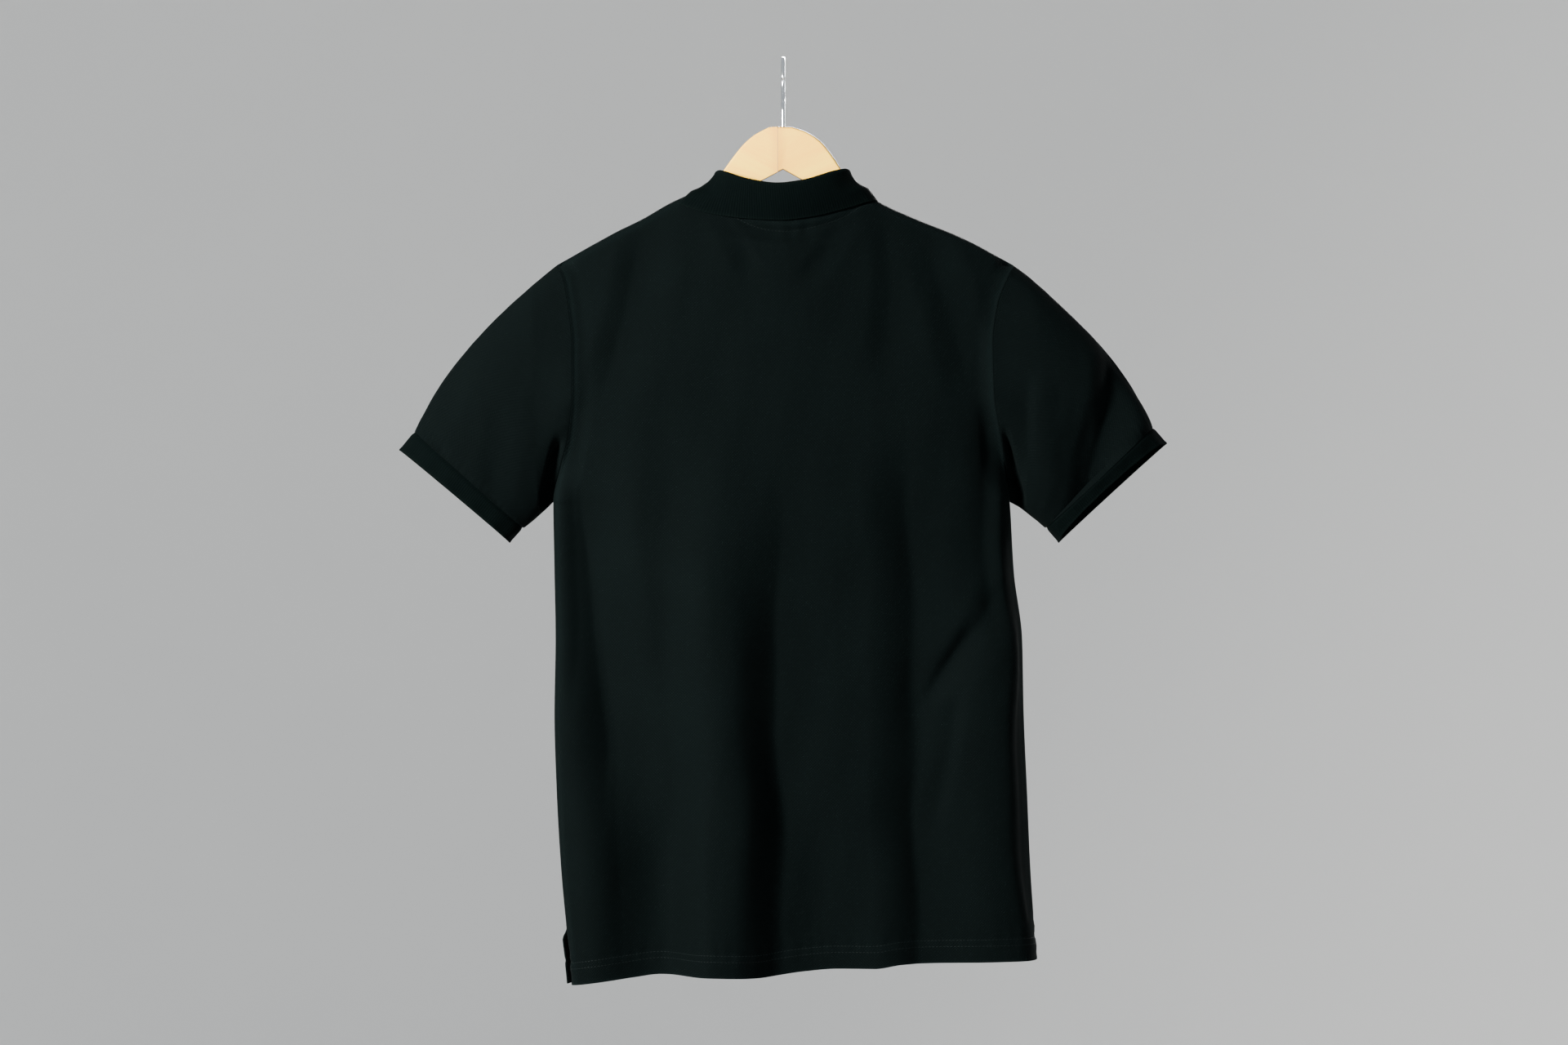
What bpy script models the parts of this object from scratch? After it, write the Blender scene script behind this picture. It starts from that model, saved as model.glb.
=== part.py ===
"""A polo shirt hanging on a flat wooden hanger. Every sewn piece is a solid of its own.

Frame: metres, +Z up. The wearer would face +Y, so the left sleeve is at -X. The origin is the inside
of the hook's crown, where the hanger rests on a rail. The cloth is worked out from its outline, its
depth below the shoulder line and short tables of folds, and each wall is that surface thickened
inwards.
"""

import math
from collections import namedtuple

import bmesh
import bpy
import numpy as np

BACK, FRONT = -1, 1
LEFT, RIGHT = -1, 1

# Cloth and sewing
WALL = 0.0014
RIB_WALL = 0.0020
PLACKET_WALL = 0.0020
SEAM_GAP = 0.0003
TOUCH = 0.00001
TURNED_GAP = 0.00036
LAY_GAP = 0.0004

# Landmarks
SHOULDER_Z = -0.188
ARMPIT_Z = -0.405
NECK_LEFT_X, NECK_RIGHT_X = -0.085, 0.081
BACK_NECK_DROP = 0.0215
FRONT_NECK_DROP = 0.083
BACK_NECK_SHAPE, FRONT_NECK_SHAPE = 1.05, 1.25
VENT_HEIGHT = 0.040
VENT_GAPE = 0.007
HEM_HEIGHT = 0.021

# Armhole: half its depth, how far its lower end is drawn in under the arm, and over which turns
ARMHOLE_DEPTH = 0.036
ARMHOLE_DRAW = 0.60
DRAW_FROM, DRAW_TO = 95, 165

# Roundness of a panel towards its side edges: nearly square at the chest, soft at the waist
CHEST_POWER, WAIST_POWER = 8.0, 2.6
CHEST_Z, WAIST_Z = -0.22, -0.46
EDGE_POWER = 12
FOLD_FADE = 0.25

# Rows and columns of the panels; the rows above the armpit stand at these turns about the armhole
ARMHOLE_TURNS = [0, 9, 18, 36, 54, 72, 90, 108, 126, 144, 162, 180]
SIDE_ROWS = 11
SHOULDER_COLUMNS = 8
SHOULDER_CROWDING = 1.6
NECK_COLUMNS = 6
NECK_CROWDING = 2.0
PLACKET_HALF = 0.085
NOTCH_HALF = 0.070
PLACKET_ROWS = 8
PLACKET_OVERRUN = 0.15

# Outline of the body at each height: the armhole seams down to the armpits, then the side seams
Level = namedtuple("Level", "z left right")
SIDES = [
    Level(-0.188, -0.2085, 0.2120),
    Level(-0.199, -0.2020, 0.2060),
    Level(-0.225, -0.1970, 0.1960),
    Level(-0.260, -0.1932, 0.1915),
    Level(-0.305, -0.1930, 0.1925),
    Level(-0.340, -0.1955, 0.1980),
    Level(-0.370, -0.2030, 0.2030),
    Level(-0.405, -0.2110, 0.2080),
    Level(-0.470, -0.2100, 0.2120),
    Level(-0.530, -0.2090, 0.2195),
    Level(-0.600, -0.2100, 0.2210),
    Level(-0.670, -0.2080, 0.2240),
    Level(-0.740, -0.2040, 0.2270),
    Level(-0.800, -0.1985, 0.2310),
    Level(-0.847, -0.1935, 0.2340),
]

# Line along the top of the shoulders, carried on over the open neck
Along = namedtuple("Along", "x z")
SHOULDER = [
    Along(-0.2085, -0.1880),
    Along(-0.1680, -0.1705),
    Along(-0.1430, -0.1560),
    Along(-0.1030, -0.1325),
    Along(-0.0850, -0.1225),
    Along(0.0000, -0.0850),
    Along(0.0810, -0.1250),
    Along(0.0890, -0.1300),
    Along(0.1550, -0.1610),
    Along(0.2120, -0.1880),
]

HEM = [
    Along(-0.1935, -0.8470),
    Along(-0.1185, -0.8390),
    Along(-0.0420, -0.8400),
    Along(0.0000, -0.8330),
    Along(0.1170, -0.8290),
    Along(0.2340, -0.8260),
]

# How far the cloth stands off the middle plane, by the drop below the shoulder line
Stand = namedtuple("Stand", "drop back front")
STAND_OFF = [
    Stand(0.000, 0.0000, 0.0000),
    Stand(0.0012, 0.0060, 0.0060),
    Stand(0.005, 0.0100, 0.0100),
    Stand(0.015, 0.0140, 0.0140),
    Stand(0.040, 0.0210, 0.0220),
    Stand(0.080, 0.0300, 0.0320),
    Stand(0.150, 0.0400, 0.0410),
    Stand(0.240, 0.0480, 0.0470),
    Stand(0.400, 0.0540, 0.0520),
    Stand(0.760, 0.0560, 0.0530),
]

# Folds: a soft trough along a line, bowed sideways in its middle; a ridge has a negative depth
Fold = namedtuple("Fold", "x0 z0 x1 z1 bow width depth")
BACK_FOLDS = [
    Fold(-0.190, -0.400, -0.160, -0.760, 0.006, 0.024, 0.010),
    Fold(-0.082, -0.400, -0.080, -0.860, 0.000, 0.052, -0.007),
    Fold(-0.024, -0.430, -0.011, -0.900, 0.006, 0.030, 0.014),
    Fold(0.053, -0.420, 0.050, -0.860, 0.000, 0.036, -0.006),
    Fold(0.100, -0.410, 0.117, -0.880, -0.006, 0.028, 0.010),
    Fold(0.196, -0.470, 0.128, -0.600, 0.004, 0.024, 0.008),
    Fold(0.207, -0.420, 0.222, -0.840, 0.000, 0.020, 0.006),
    Fold(-0.130, -0.160, -0.164, -0.300, 0.006, 0.030, 0.005),
    Fold(0.128, -0.155, 0.184, -0.300, 0.004, 0.032, 0.006),
]
FRONT_FOLDS = [
    Fold(-0.186, -0.410, -0.150, -0.800, 0.005, 0.026, 0.010),
    Fold(-0.100, -0.430, -0.104, -0.860, 0.000, 0.036, -0.006),
    Fold(-0.052, -0.460, -0.044, -0.900, 0.005, 0.030, 0.011),
    Fold(0.040, -0.430, 0.048, -0.860, 0.000, 0.040, -0.007),
    Fold(0.096, -0.400, 0.090, -0.880, -0.006, 0.028, 0.011),
    Fold(0.186, -0.410, 0.168, -0.760, -0.005, 0.024, 0.009),
    Fold(-0.120, -0.180, -0.168, -0.320, 0.006, 0.030, 0.006),
    Fold(0.118, -0.180, 0.172, -0.310, 0.004, 0.030, 0.005),
]

# Sleeve sections from near the armhole to the cuff seam: top and bottom of each, and half its depth
Section = namedtuple("Section", "top_x top_z bottom_x bottom_z depth")
LEFT_SLEEVE = [
    Section(-0.2220, -0.1990, -0.2195, -0.4130, 0.033),
    Section(-0.2360, -0.2110, -0.2250, -0.4180, 0.034),
    Section(-0.2620, -0.2350, -0.2290, -0.4215, 0.033),
    Section(-0.2900, -0.2650, -0.2320, -0.4240, 0.031),
    Section(-0.3160, -0.2990, -0.2350, -0.4265, 0.029),
    Section(-0.3390, -0.3400, -0.2385, -0.4290, 0.027),
]
RIGHT_SLEEVE = [
    Section(0.2260, -0.1985, 0.2170, -0.4100, 0.033),
    Section(0.2410, -0.2115, 0.2230, -0.4145, 0.034),
    Section(0.2680, -0.2370, 0.2280, -0.4185, 0.033),
    Section(0.2920, -0.2615, 0.2325, -0.4220, 0.031),
    Section(0.3160, -0.2930, 0.2365, -0.4255, 0.029),
    Section(0.3400, -0.3360, 0.2410, -0.4290, 0.027),
]
LEFT_CUFF_EDGE = Section(-0.3520, -0.3580, -0.2520, -0.4420, 0.025)
RIGHT_CUFF_EDGE = Section(0.3520, -0.3520, 0.2540, -0.4420, 0.025)
LEFT_CUFF_BOW, RIGHT_CUFF_BOW = 0.003, 0.008
SLEEVE_FULLNESS = 0.85
SLEEVE_FOLDS = [
    Fold(0.291, -0.262, 0.262, -0.410, 0.006, 0.030, 0.012),
    Fold(-0.240, -0.300, -0.262, -0.420, 0.004, 0.026, 0.006),
]

# Collar, by the turn about the neck from the back: its fold line and the edge of its leaf
Turn = namedtuple("Turn", "angle fold_x fold_y fold_z edge_x edge_z")
COLLAR = [
    Turn(-180, -0.0028, 0.041, -0.194, -0.053, -0.246),
    Turn(-150, -0.033, 0.037, -0.176, -0.068, -0.222),
    Turn(-135, -0.045, 0.032, -0.158, -0.080, -0.199),
    Turn(-120, -0.056, 0.023, -0.137, -0.092, -0.174),
    Turn(-105, -0.0645, 0.014, -0.114, -0.1000, -0.150),
    Turn(-97, -0.0650, 0.009, -0.1040, -0.1020, -0.1380),
    Turn(-90, -0.0640, -0.002, -0.1015, -0.1015, -0.1310),
    Turn(-82, -0.0610, -0.009, -0.1015, -0.0950, -0.1330),
    Turn(-60, -0.0550, -0.018, -0.1010, -0.0720, -0.1390),
    Turn(-30, -0.0320, -0.0255, -0.1070, -0.0330, -0.1460),
    Turn(0, -0.0060, -0.0275, -0.1140, -0.0030, -0.1475),
    Turn(30, 0.0180, -0.0255, -0.1085, 0.0240, -0.1445),
    Turn(60, 0.0460, -0.018, -0.1005, 0.0600, -0.1350),
    Turn(82, 0.0605, -0.009, -0.1005, 0.0820, -0.1305),
    Turn(90, 0.0630, -0.002, -0.1005, 0.0885, -0.1290),
    Turn(97, 0.0635, 0.009, -0.1035, 0.0905, -0.1370),
    Turn(105, 0.0620, 0.015, -0.114, 0.0900, -0.149),
    Turn(120, 0.051, 0.023, -0.137, 0.084, -0.173),
    Turn(135, 0.040, 0.032, -0.158, 0.073, -0.198),
    Turn(150, 0.028, 0.037, -0.176, 0.062, -0.222),
    Turn(180, -0.0012, 0.041, -0.194, 0.048, -0.246),
]
FOLD_RADIUS = 0.0024
LEAF_BULGE = 0.0020
LEAF_CLEAR_BACK = 0.0028
LEAF_CLEAR_FRONT = 0.0046
LEAF_CLEAR_RIDGE = 0.0010
RIDGE_TURN, RIDGE_REACH = 92, 18
LEAF_SHARES = [0.35, 0.70]

# Buttons: their profile from the axis at the back to the axis in front, in shares of the two sizes
BUTTON_RADIUS = 0.0056
BUTTON_HEIGHT = 0.0026
BUTTON_SIDES = 20
BUTTON_HEIGHTS_Z = [-0.219, -0.276, -0.333]
Rim = namedtuple("Rim", "radius height")
BUTTON_PROFILE = [
    Rim(0.00, 0.00),
    Rim(0.80, 0.00),
    Rim(1.00, 0.40),
    Rim(0.96, 0.85),
    Rim(0.82, 1.00),
    Rim(0.66, 0.72),
    Rim(0.00, 0.66),
]

# Hanger
WOOD_HALF = 0.006
WOOD_BEVEL = 0.0028
WOOD_JOINT_X = -0.005
WOOD_DROP = 0.0045
WOOD_LEFT_END, WOOD_RIGHT_END = -0.193, 0.195
WOOD_TIP_RADIUS = 0.008
WOOD_TIP_STEPS = 5
ARM_POINTS = 5
HUMP_POINTS = 14
HUMP_LEFT = [
    Along(-0.062, -0.1095),
    Along(-0.055, -0.1010),
    Along(-0.0455, -0.0880),
    Along(-0.036, -0.0765),
    Along(-0.026, -0.0680),
    Along(-0.013, -0.0610),
]
HUMP_RIGHT = [
    Along(0.008, -0.0605),
    Along(0.021, -0.0650),
    Along(0.034, -0.0735),
    Along(0.043, -0.0840),
    Along(0.0535, -0.0995),
    Along(0.061, -0.1100),
]
NOTCH_APEX = Along(0.0, -0.0995)
UNDERSIDE_LEFT = Along(-0.086, -0.1445)
UNDERSIDE_RIGHT = Along(0.082, -0.1450)

# Hook: a turn of wire in the front-to-back plane, then a counter-turn into the shank
WIRE_RADIUS = 0.0020
HOOK_RADIUS = 0.0200
HOOK_OPEN_ANGLE = 176
HOOK_END_ANGLE = -70
SHANK_BOTTOM = -0.078
SHANK_HOLE = 0.0024
BORE_LENGTH = 0.060
HOOK_STEPS, NECK_STEPS = 25, 6

# Colours (linear) and roughness
CLOTH = ((0.0040, 0.0075, 0.0070), 0.92, 0.0)
RIB = ((0.0045, 0.0082, 0.0078), 0.90, 0.0)
BUTTON = ((0.010, 0.014, 0.013), 0.30, 0.0)
WOOD = ((0.86, 0.64, 0.42), 0.42, 0.0)
CHROME = ((0.80, 0.80, 0.82), 0.12, 1.0)


def clear_scene():
    for obj in list(bpy.data.objects):
        bpy.data.objects.remove(obj, do_unlink=True)


def material(name, finish):
    colour, roughness, metallic = finish
    made = bpy.data.materials.new(name)
    made.use_nodes = True
    made.diffuse_color = (*colour, 1.0)
    shader = made.node_tree.nodes["Principled BSDF"]
    shader.inputs["Base Color"].default_value = (*colour, 1.0)
    shader.inputs["Roughness"].default_value = roughness
    shader.inputs["Metallic"].default_value = metallic
    return made


def named(rows, name):
    """One column of a table, as an array."""
    return np.array([getattr(row, name) for row in rows])


def curve(knots, values, at):
    """Smooth curve through (knots, values) that never overshoots them; flat beyond its ends."""
    knots, values = np.asarray(knots, float), np.asarray(values, float)
    span = np.diff(knots)
    rise = np.diff(values) / span
    slope = np.empty_like(values)
    slope[0], slope[-1] = rise[0], rise[-1]
    before, after = rise[:-1], rise[1:]
    same_way = before * after > 0
    total = np.where(same_way, before + after, 1.0)
    slope[1:-1] = np.where(same_way, 2 * before * after / total, 0.0)
    at = np.clip(np.asarray(at, float), knots[0], knots[-1])
    k = np.clip(np.searchsorted(knots, at, side="right") - 1, 0, len(span) - 1)
    t = (at - knots[k]) / span[k]
    start = (1 + 2 * t) * (1 - t) ** 2 * values[k] + t * (1 - t) ** 2 * span[k] * slope[k]
    end = t**2 * (3 - 2 * t) * values[k + 1] + t**2 * (t - 1) * span[k] * slope[k + 1]
    return start + end


def lerp(a, b, t):
    return a + (b - a) * t


def smoothstep(low, high, value):
    t = np.clip((value - low) / (high - low), 0.0, 1.0)
    return t * t * (3 - 2 * t)


def unit(vectors):
    return vectors / np.linalg.norm(vectors, axis=-1, keepdims=True)


# Form of the garment


def side_x(side, z):
    name = "left" if side == LEFT else "right"
    return curve(-named(SIDES, "z"), named(SIDES, name), -np.asarray(z))


def shoulder_z(x):
    return curve(named(SHOULDER, "x"), named(SHOULDER, "z"), x)


def hem_z(x):
    return curve(named(HEM, "x"), named(HEM, "z"), x)


def neck_z(side, x):
    """Height of the neckline between the two neck points."""
    drop = BACK_NECK_DROP if side == BACK else FRONT_NECK_DROP
    shape = BACK_NECK_SHAPE if side == BACK else FRONT_NECK_SHAPE
    middle = (NECK_LEFT_X + NECK_RIGHT_X) / 2
    half = (NECK_RIGHT_X - NECK_LEFT_X) / 2
    across = np.clip((x - middle) / half, -1.0, 1.0)
    points = shoulder_z(np.array([NECK_LEFT_X, NECK_RIGHT_X]))
    return lerp(points[0], points[1], (across + 1) / 2) - drop * (1 - across**2) ** shape


def top_z(side, x):
    """Height of a panel's upper edge: shoulder seam, neckline, shoulder seam."""
    inside = (x > NECK_LEFT_X) & (x < NECK_RIGHT_X)
    return np.where(inside, neck_z(side, x), shoulder_z(x))


def armhole_angle(z):
    """Turn about the armhole, from 0 at the shoulder point to pi at the armpit."""
    down = np.clip((SHOULDER_Z - z) / (SHOULDER_Z - ARMPIT_Z), 0.0, 1.0)
    return np.arccos(1 - 2 * down)


def edge_depth(z):
    """How far a panel's side edge stands off the middle plane: armhole, side seam, vent."""
    turn = armhole_angle(z)
    drawn = 1 - ARMHOLE_DRAW * smoothstep(math.radians(DRAW_FROM), math.radians(DRAW_TO), turn)
    vent_top = hem_z(0.0) + VENT_HEIGHT
    gape = VENT_GAPE * smoothstep(0, 1, (vent_top - z) / VENT_HEIGHT)
    return ARMHOLE_DEPTH * np.sin(turn) * drawn + gape


def fold_depth(folds, x, z):
    """Sum of the folds at (x, z): each fades across its width and towards its two ends."""
    total = np.zeros(np.broadcast(x, z).shape)
    for fold in folds:
        run_x, run_z = fold.x1 - fold.x0, fold.z1 - fold.z0
        length = math.hypot(run_x, run_z)
        along = ((x - fold.x0) * run_x + (z - fold.z0) * run_z) / length**2
        bow = fold.bow * (1 - (2 * np.clip(along, 0, 1) - 1) ** 2)
        across = ((x - fold.x0) * run_z - (z - fold.z0) * run_x) / length + bow
        shape = (1 - np.clip(across / fold.width, -1, 1) ** 2) ** 2
        ends = smoothstep(0.0, FOLD_FADE, along) * smoothstep(0.0, FOLD_FADE, 1 - along)
        total = total + fold.depth * shape * ends
    return total


def stand_off(side, x, z):
    """Distance of a panel's outer face from the middle plane at (x, z)."""
    left, right = side_x(LEFT, z), side_x(RIGHT, z)
    across = np.clip((2 * x - left - right) / (right - left), -1.0, 1.0)
    power = lerp(CHEST_POWER, WAIST_POWER, smoothstep(CHEST_Z, WAIST_Z, z))
    round_off = (1 - np.abs(across) ** power) ** (1 / power)
    at_edge = 1 - (1 - np.abs(across) ** EDGE_POWER) ** (1 / EDGE_POWER)
    column = "back" if side == BACK else "front"
    drop = np.maximum(shoulder_z(x) - z, 0.0)
    full = curve(named(STAND_OFF, "drop"), named(STAND_OFF, column), drop)
    folds = fold_depth(BACK_FOLDS if side == BACK else FRONT_FOLDS, x, z)
    return (full - folds) * round_off + edge_depth(z) * at_edge


def on_panel(side, x, z):
    """Points of a panel's outer face at (x, z)."""
    y = side * np.maximum(stand_off(side, x, z), SEAM_GAP / 2)
    return np.stack(np.broadcast_arrays(x, y, z), axis=-1)


# Grids of the sewn pieces


def panel_columns():
    """Where the columns lie across a panel, -1 at the left edge and 1 at the right."""
    half = (side_x(RIGHT, SHOULDER_Z) - side_x(LEFT, SHOULDER_Z)) / 2
    middle = (side_x(RIGHT, SHOULDER_Z) + side_x(LEFT, SHOULDER_Z)) / 2
    neck_left, neck_right = (NECK_LEFT_X - middle) / half, (NECK_RIGHT_X - middle) / half
    spread = np.linspace(0, 1, SHOULDER_COLUMNS + 1) ** SHOULDER_CROWDING
    left = lerp(-1.0, neck_left, spread)
    right = lerp(1.0, neck_right, spread)[::-1]
    centre = (neck_left + neck_right) / 2
    spread = np.linspace(0, 1, NECK_COLUMNS + 1)[1:] ** NECK_CROWDING
    neck_a = lerp(neck_left, centre - PLACKET_HALF, spread)
    neck_b = lerp(neck_right, centre + PLACKET_HALF, spread)[::-1]
    notch = [centre - NOTCH_HALF, centre, centre + NOTCH_HALF]
    return np.concatenate([left, neck_a, notch, neck_b, right])


def panel_grid(side):
    """Rows from the shoulders down to the hem, columns from left to right."""
    columns = panel_columns()
    share = (columns + 1) / 2
    top_x = lerp(side_x(LEFT, SHOULDER_Z), side_x(RIGHT, SHOULDER_Z), share)
    bottom_x = lerp(HEM[0].x, HEM[-1].x, share)
    rows = []
    for turn in np.radians(ARMHOLE_TURNS):
        down = (1 - math.cos(turn)) / 2
        z = lerp(top_z(side, top_x), ARMPIT_Z, down)
        seam_z = lerp(SHOULDER_Z, ARMPIT_Z, down)
        x = lerp(side_x(LEFT, seam_z), side_x(RIGHT, seam_z), share)
        rows.append(on_panel(side, x, z))
    length = ARMPIT_Z - hem_z(0.0)
    steps = np.linspace(0, 1 - VENT_HEIGHT / length, SIDE_ROWS + 1)[1:]
    for down in [*steps, 1 - HEM_HEIGHT / length, 1.0]:
        z = lerp(ARMPIT_Z, hem_z(bottom_x), down)
        x = lerp(side_x(LEFT, z[0]), side_x(RIGHT, z[-1]), share)
        rows.append(on_panel(side, x, z))
    return np.array(rows)


def ring(section, side_folds=True):
    """One section of a sleeve: from its top round the back to its bottom and up the front."""
    turn = np.radians(ARMHOLE_TURNS + [360 - turn for turn in ARMHOLE_TURNS[-2:0:-1]])
    cosine, sine = np.cos(turn), np.sin(turn)
    fullness = np.sign(sine) * np.abs(sine) ** SLEEVE_FULLNESS
    x = (section.top_x + section.bottom_x) / 2 + (section.top_x - section.bottom_x) / 2 * cosine
    z = (section.top_z + section.bottom_z) / 2 + (section.top_z - section.bottom_z) / 2 * cosine
    y = -section.depth * fullness
    if side_folds:
        y = y + fold_depth(SLEEVE_FOLDS, x, z) * np.maximum(fullness, 0)
    return np.stack([x, y, z], axis=-1)


def armhole_ring(back, front, column):
    """The armhole's edge in the order of a sleeve's ring, from the two panels' own points."""
    down = back[: len(ARMHOLE_TURNS), column].copy()
    down[[0, -1], 1] = 0.0
    up = front[1 : len(ARMHOLE_TURNS) - 1, column][::-1]
    return np.concatenate([down, up])


def sleeve_grid(back, front, column, sections):
    rows = [armhole_ring(back, front, column)] + [ring(section) for section in sections]
    grid = np.array(rows)
    grid[0] += TURNED_GAP * unit(grid[1] - grid[0])
    return grid


def cuff_grid(sleeve, edge, bow):
    """A band that carries the sleeve's last ring on to the cuff's edge."""
    seam = sleeve[-1]
    end = ring(edge, side_folds=False)
    axis = unit(end.mean(axis=0) - seam.mean(axis=0))
    back_share = np.clip(-end[:, 1:2] / edge.depth, 0, 1)
    end = end - bow * back_share * axis
    start = seam + SEAM_GAP * unit(end - seam)
    return np.array([start, lerp(start, end, 0.5), end])


def arc_share(points):
    """Share of the way along a run of points, 0 at the first and 1 at the last."""
    steps = np.linalg.norm(np.diff(points, axis=0), axis=-1)
    return np.concatenate([[0.0], np.cumsum(steps)]) / steps.sum()


def lifted(side, x, z, clear):
    """Points above a panel's outer face, moved out from it square to the cloth."""
    step = 0.0005
    z = np.minimum(z, shoulder_z(x))
    here = stand_off(side, x, z)
    across = (stand_off(side, x + step, z) - stand_off(side, x - step, z)) / (2 * step)
    down = (stand_off(side, x, z - step) - here) / step
    normal = unit(np.stack([-across, side * np.ones_like(x), down], -1))
    return np.stack([x, side * here, z], -1) + np.reshape(clear, (-1, 1)) * normal


def neck_path(back, front):
    """A panel's edge points round the neck, from the left front over the back to the right front."""
    first, last = SHOULDER_COLUMNS, back.shape[1] - 1 - SHOULDER_COLUMNS
    middle = (first + last) // 2
    left, right = front[0, first:middle][::-1], front[0, middle + 1 : last + 1][::-1]
    ends = []
    for beside, row in ((left[0], COLLAR[0]), (right[-1], COLLAR[-1])):
        centre = front[0, middle]
        ends.append(lerp(centre, beside, (row.fold_x - centre[0]) / (beside[0] - centre[0])))
    return np.array([ends[0], *left, *back[0, first + 1 : last], *right, ends[1]])


def collar_turns(neck):
    """Turn about the neck at each of its points, in even steps along the front and the back."""
    left, right = (int(np.argmax(sign * neck[:, 0])) for sign in (-1, 1))
    angles = [-180 + 90 * arc_share(neck[: left + 1])]
    angles.append(-90 + 180 * arc_share(neck[left : right + 1])[1:])
    angles.append(90 + 90 * arc_share(neck[right:])[1:])
    return np.concatenate(angles)


def collar_grid(neck):
    """Rows of the collar above the neck seam: up the stand, over the fold and down the leaf."""
    angle = collar_turns(neck)
    turns = named(COLLAR, "angle")
    fold = np.stack([curve(turns, named(COLLAR, c), angle) for c in ("fold_x", "fold_y", "fold_z")], -1)
    edge_x = curve(turns, named(COLLAR, "edge_x"), angle)
    edge_z = curve(turns, named(COLLAR, "edge_z"), angle)
    in_front = smoothstep(90 - 3, 90 + 3, np.abs(angle))
    clear = lerp(LEAF_CLEAR_BACK, LEAF_CLEAR_FRONT, smoothstep(90, 110, np.abs(angle)))
    from_ridge = np.abs(np.abs(angle) - RIDGE_TURN)
    clear = clear + LEAF_CLEAR_RIDGE * (1 - smoothstep(0, RIDGE_REACH, from_ridge))
    edge = lerp(
        lifted(BACK, edge_x, edge_z, clear), lifted(FRONT, edge_x, edge_z, clear), in_front[:, None]
    )
    up = np.array([0.0, 0.0, 1.0])
    outward = unit(np.cross(np.gradient(fold, axis=0), up))
    inner = fold - FOLD_RADIUS * (outward + up)
    outer = fold + FOLD_RADIUS * (outward - up)
    fall = edge - outer
    lift = unit(np.cross(np.gradient(edge, axis=0), fall))
    rows = [lerp(neck, inner, 0.5), inner, fold, outer]
    for share_down in LEAF_SHARES:
        bulge = LEAF_BULGE * math.sin(math.pi * share_down)
        rows.append(lerp(outer, edge, share_down) + bulge * lift)
    rows.append(edge)
    return np.array(rows)


# Walls


def grid_normals(grid, wrap=False):
    """Unit normals of a grid, square to its rows and columns."""
    if wrap:
        along = np.roll(grid, -1, axis=1) - np.roll(grid, 1, axis=1)
    else:
        along = np.gradient(grid, axis=1)
    down = np.gradient(grid, axis=0)
    return unit(np.cross(along, down))


def share_normals(*edges):
    """Gives the pieces that meet at a seam one set of normals there, so that their edges stay apart."""
    total = sum(edges)
    mean = unit(total)
    for edge in edges:
        edge[:] = mean


def wall(name, finish, outer, inner, wrap=False, left_out=None):
    """Closed solid between two grids; wrap joins the last column to the first."""
    rows, columns = outer.shape[:2]
    mesh = bmesh.new()
    outside = [[mesh.verts.new(point) for point in row] for row in outer]
    inside = [[mesh.verts.new(point) for point in row] for row in inner]
    last_column = columns if wrap else columns - 1
    kept = {(i, j) for i in range(rows - 1) for j in range(last_column)} - (left_out or set())
    for i, j in sorted(kept):
        k = (j + 1) % columns
        mesh.faces.new([outside[i][j], outside[i][k], outside[i + 1][k], outside[i + 1][j]])
        mesh.faces.new([inside[i][j], inside[i + 1][j], inside[i + 1][k], inside[i][k]])
        if (i - 1, j) not in kept:
            mesh.faces.new([outside[i][k], outside[i][j], inside[i][j], inside[i][k]])
        if (i + 1, j) not in kept:
            mesh.faces.new([outside[i + 1][j], outside[i + 1][k], inside[i + 1][k], inside[i + 1][j]])
        before = (i, (j - 1) % columns) if wrap else (i, j - 1)
        after = (i, k) if wrap else (i, j + 1)
        if before not in kept:
            mesh.faces.new([outside[i][j], outside[i + 1][j], inside[i + 1][j], inside[i][j]])
        if after not in kept:
            mesh.faces.new([outside[i][k], inside[i][k], inside[i + 1][k], outside[i + 1][k]])
    loose = [vert for vert in mesh.verts if not vert.link_faces]
    bmesh.ops.delete(mesh, geom=loose, context="VERTS")
    return finished(name, mesh, finish)


def finished(name, mesh, finish):
    """Object from a bmesh, with outward faces, smooth shading and a material of its own."""
    bmesh.ops.recalc_face_normals(mesh, faces=mesh.faces)
    data = bpy.data.meshes.new(name)
    mesh.to_mesh(data)
    mesh.free()
    data.shade_smooth()
    data.set_sharp_from_angle(angle=math.radians(50))
    obj = bpy.data.objects.new(name, data)
    data.materials.append(material(name, finish))
    bpy.context.scene.collection.objects.link(obj)
    return obj


def join_sleeve(sleeve_normals, back_normals, front_normals, column):
    """Common normals round one armhole, where a sleeve meets the two panels."""
    armpit = len(ARMHOLE_TURNS) - 1
    share_normals(sleeve_normals[0, 1:armpit], back_normals[1:armpit, column])
    share_normals(sleeve_normals[0, armpit + 1 :][::-1], front_normals[1:armpit, column])
    share_normals(sleeve_normals[0, 0], back_normals[0, column], front_normals[0, column])
    for normals in (sleeve_normals[0, armpit], back_normals[armpit, column], front_normals[armpit, column]):
        normals[:] = (0.0, 0.0, -1.0)


def join_panels(back_normals, front_normals):
    """Common normals along the side seams and the shoulder seams."""
    below_armpit = slice(len(ARMHOLE_TURNS), None)
    for column in (0, -1):
        share_normals(back_normals[below_armpit, column], front_normals[below_armpit, column])
    for column in range(1, SHOULDER_COLUMNS + 1):
        share_normals(back_normals[0, column], front_normals[0, column])
        share_normals(back_normals[0, -1 - column], front_normals[0, -1 - column])


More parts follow.
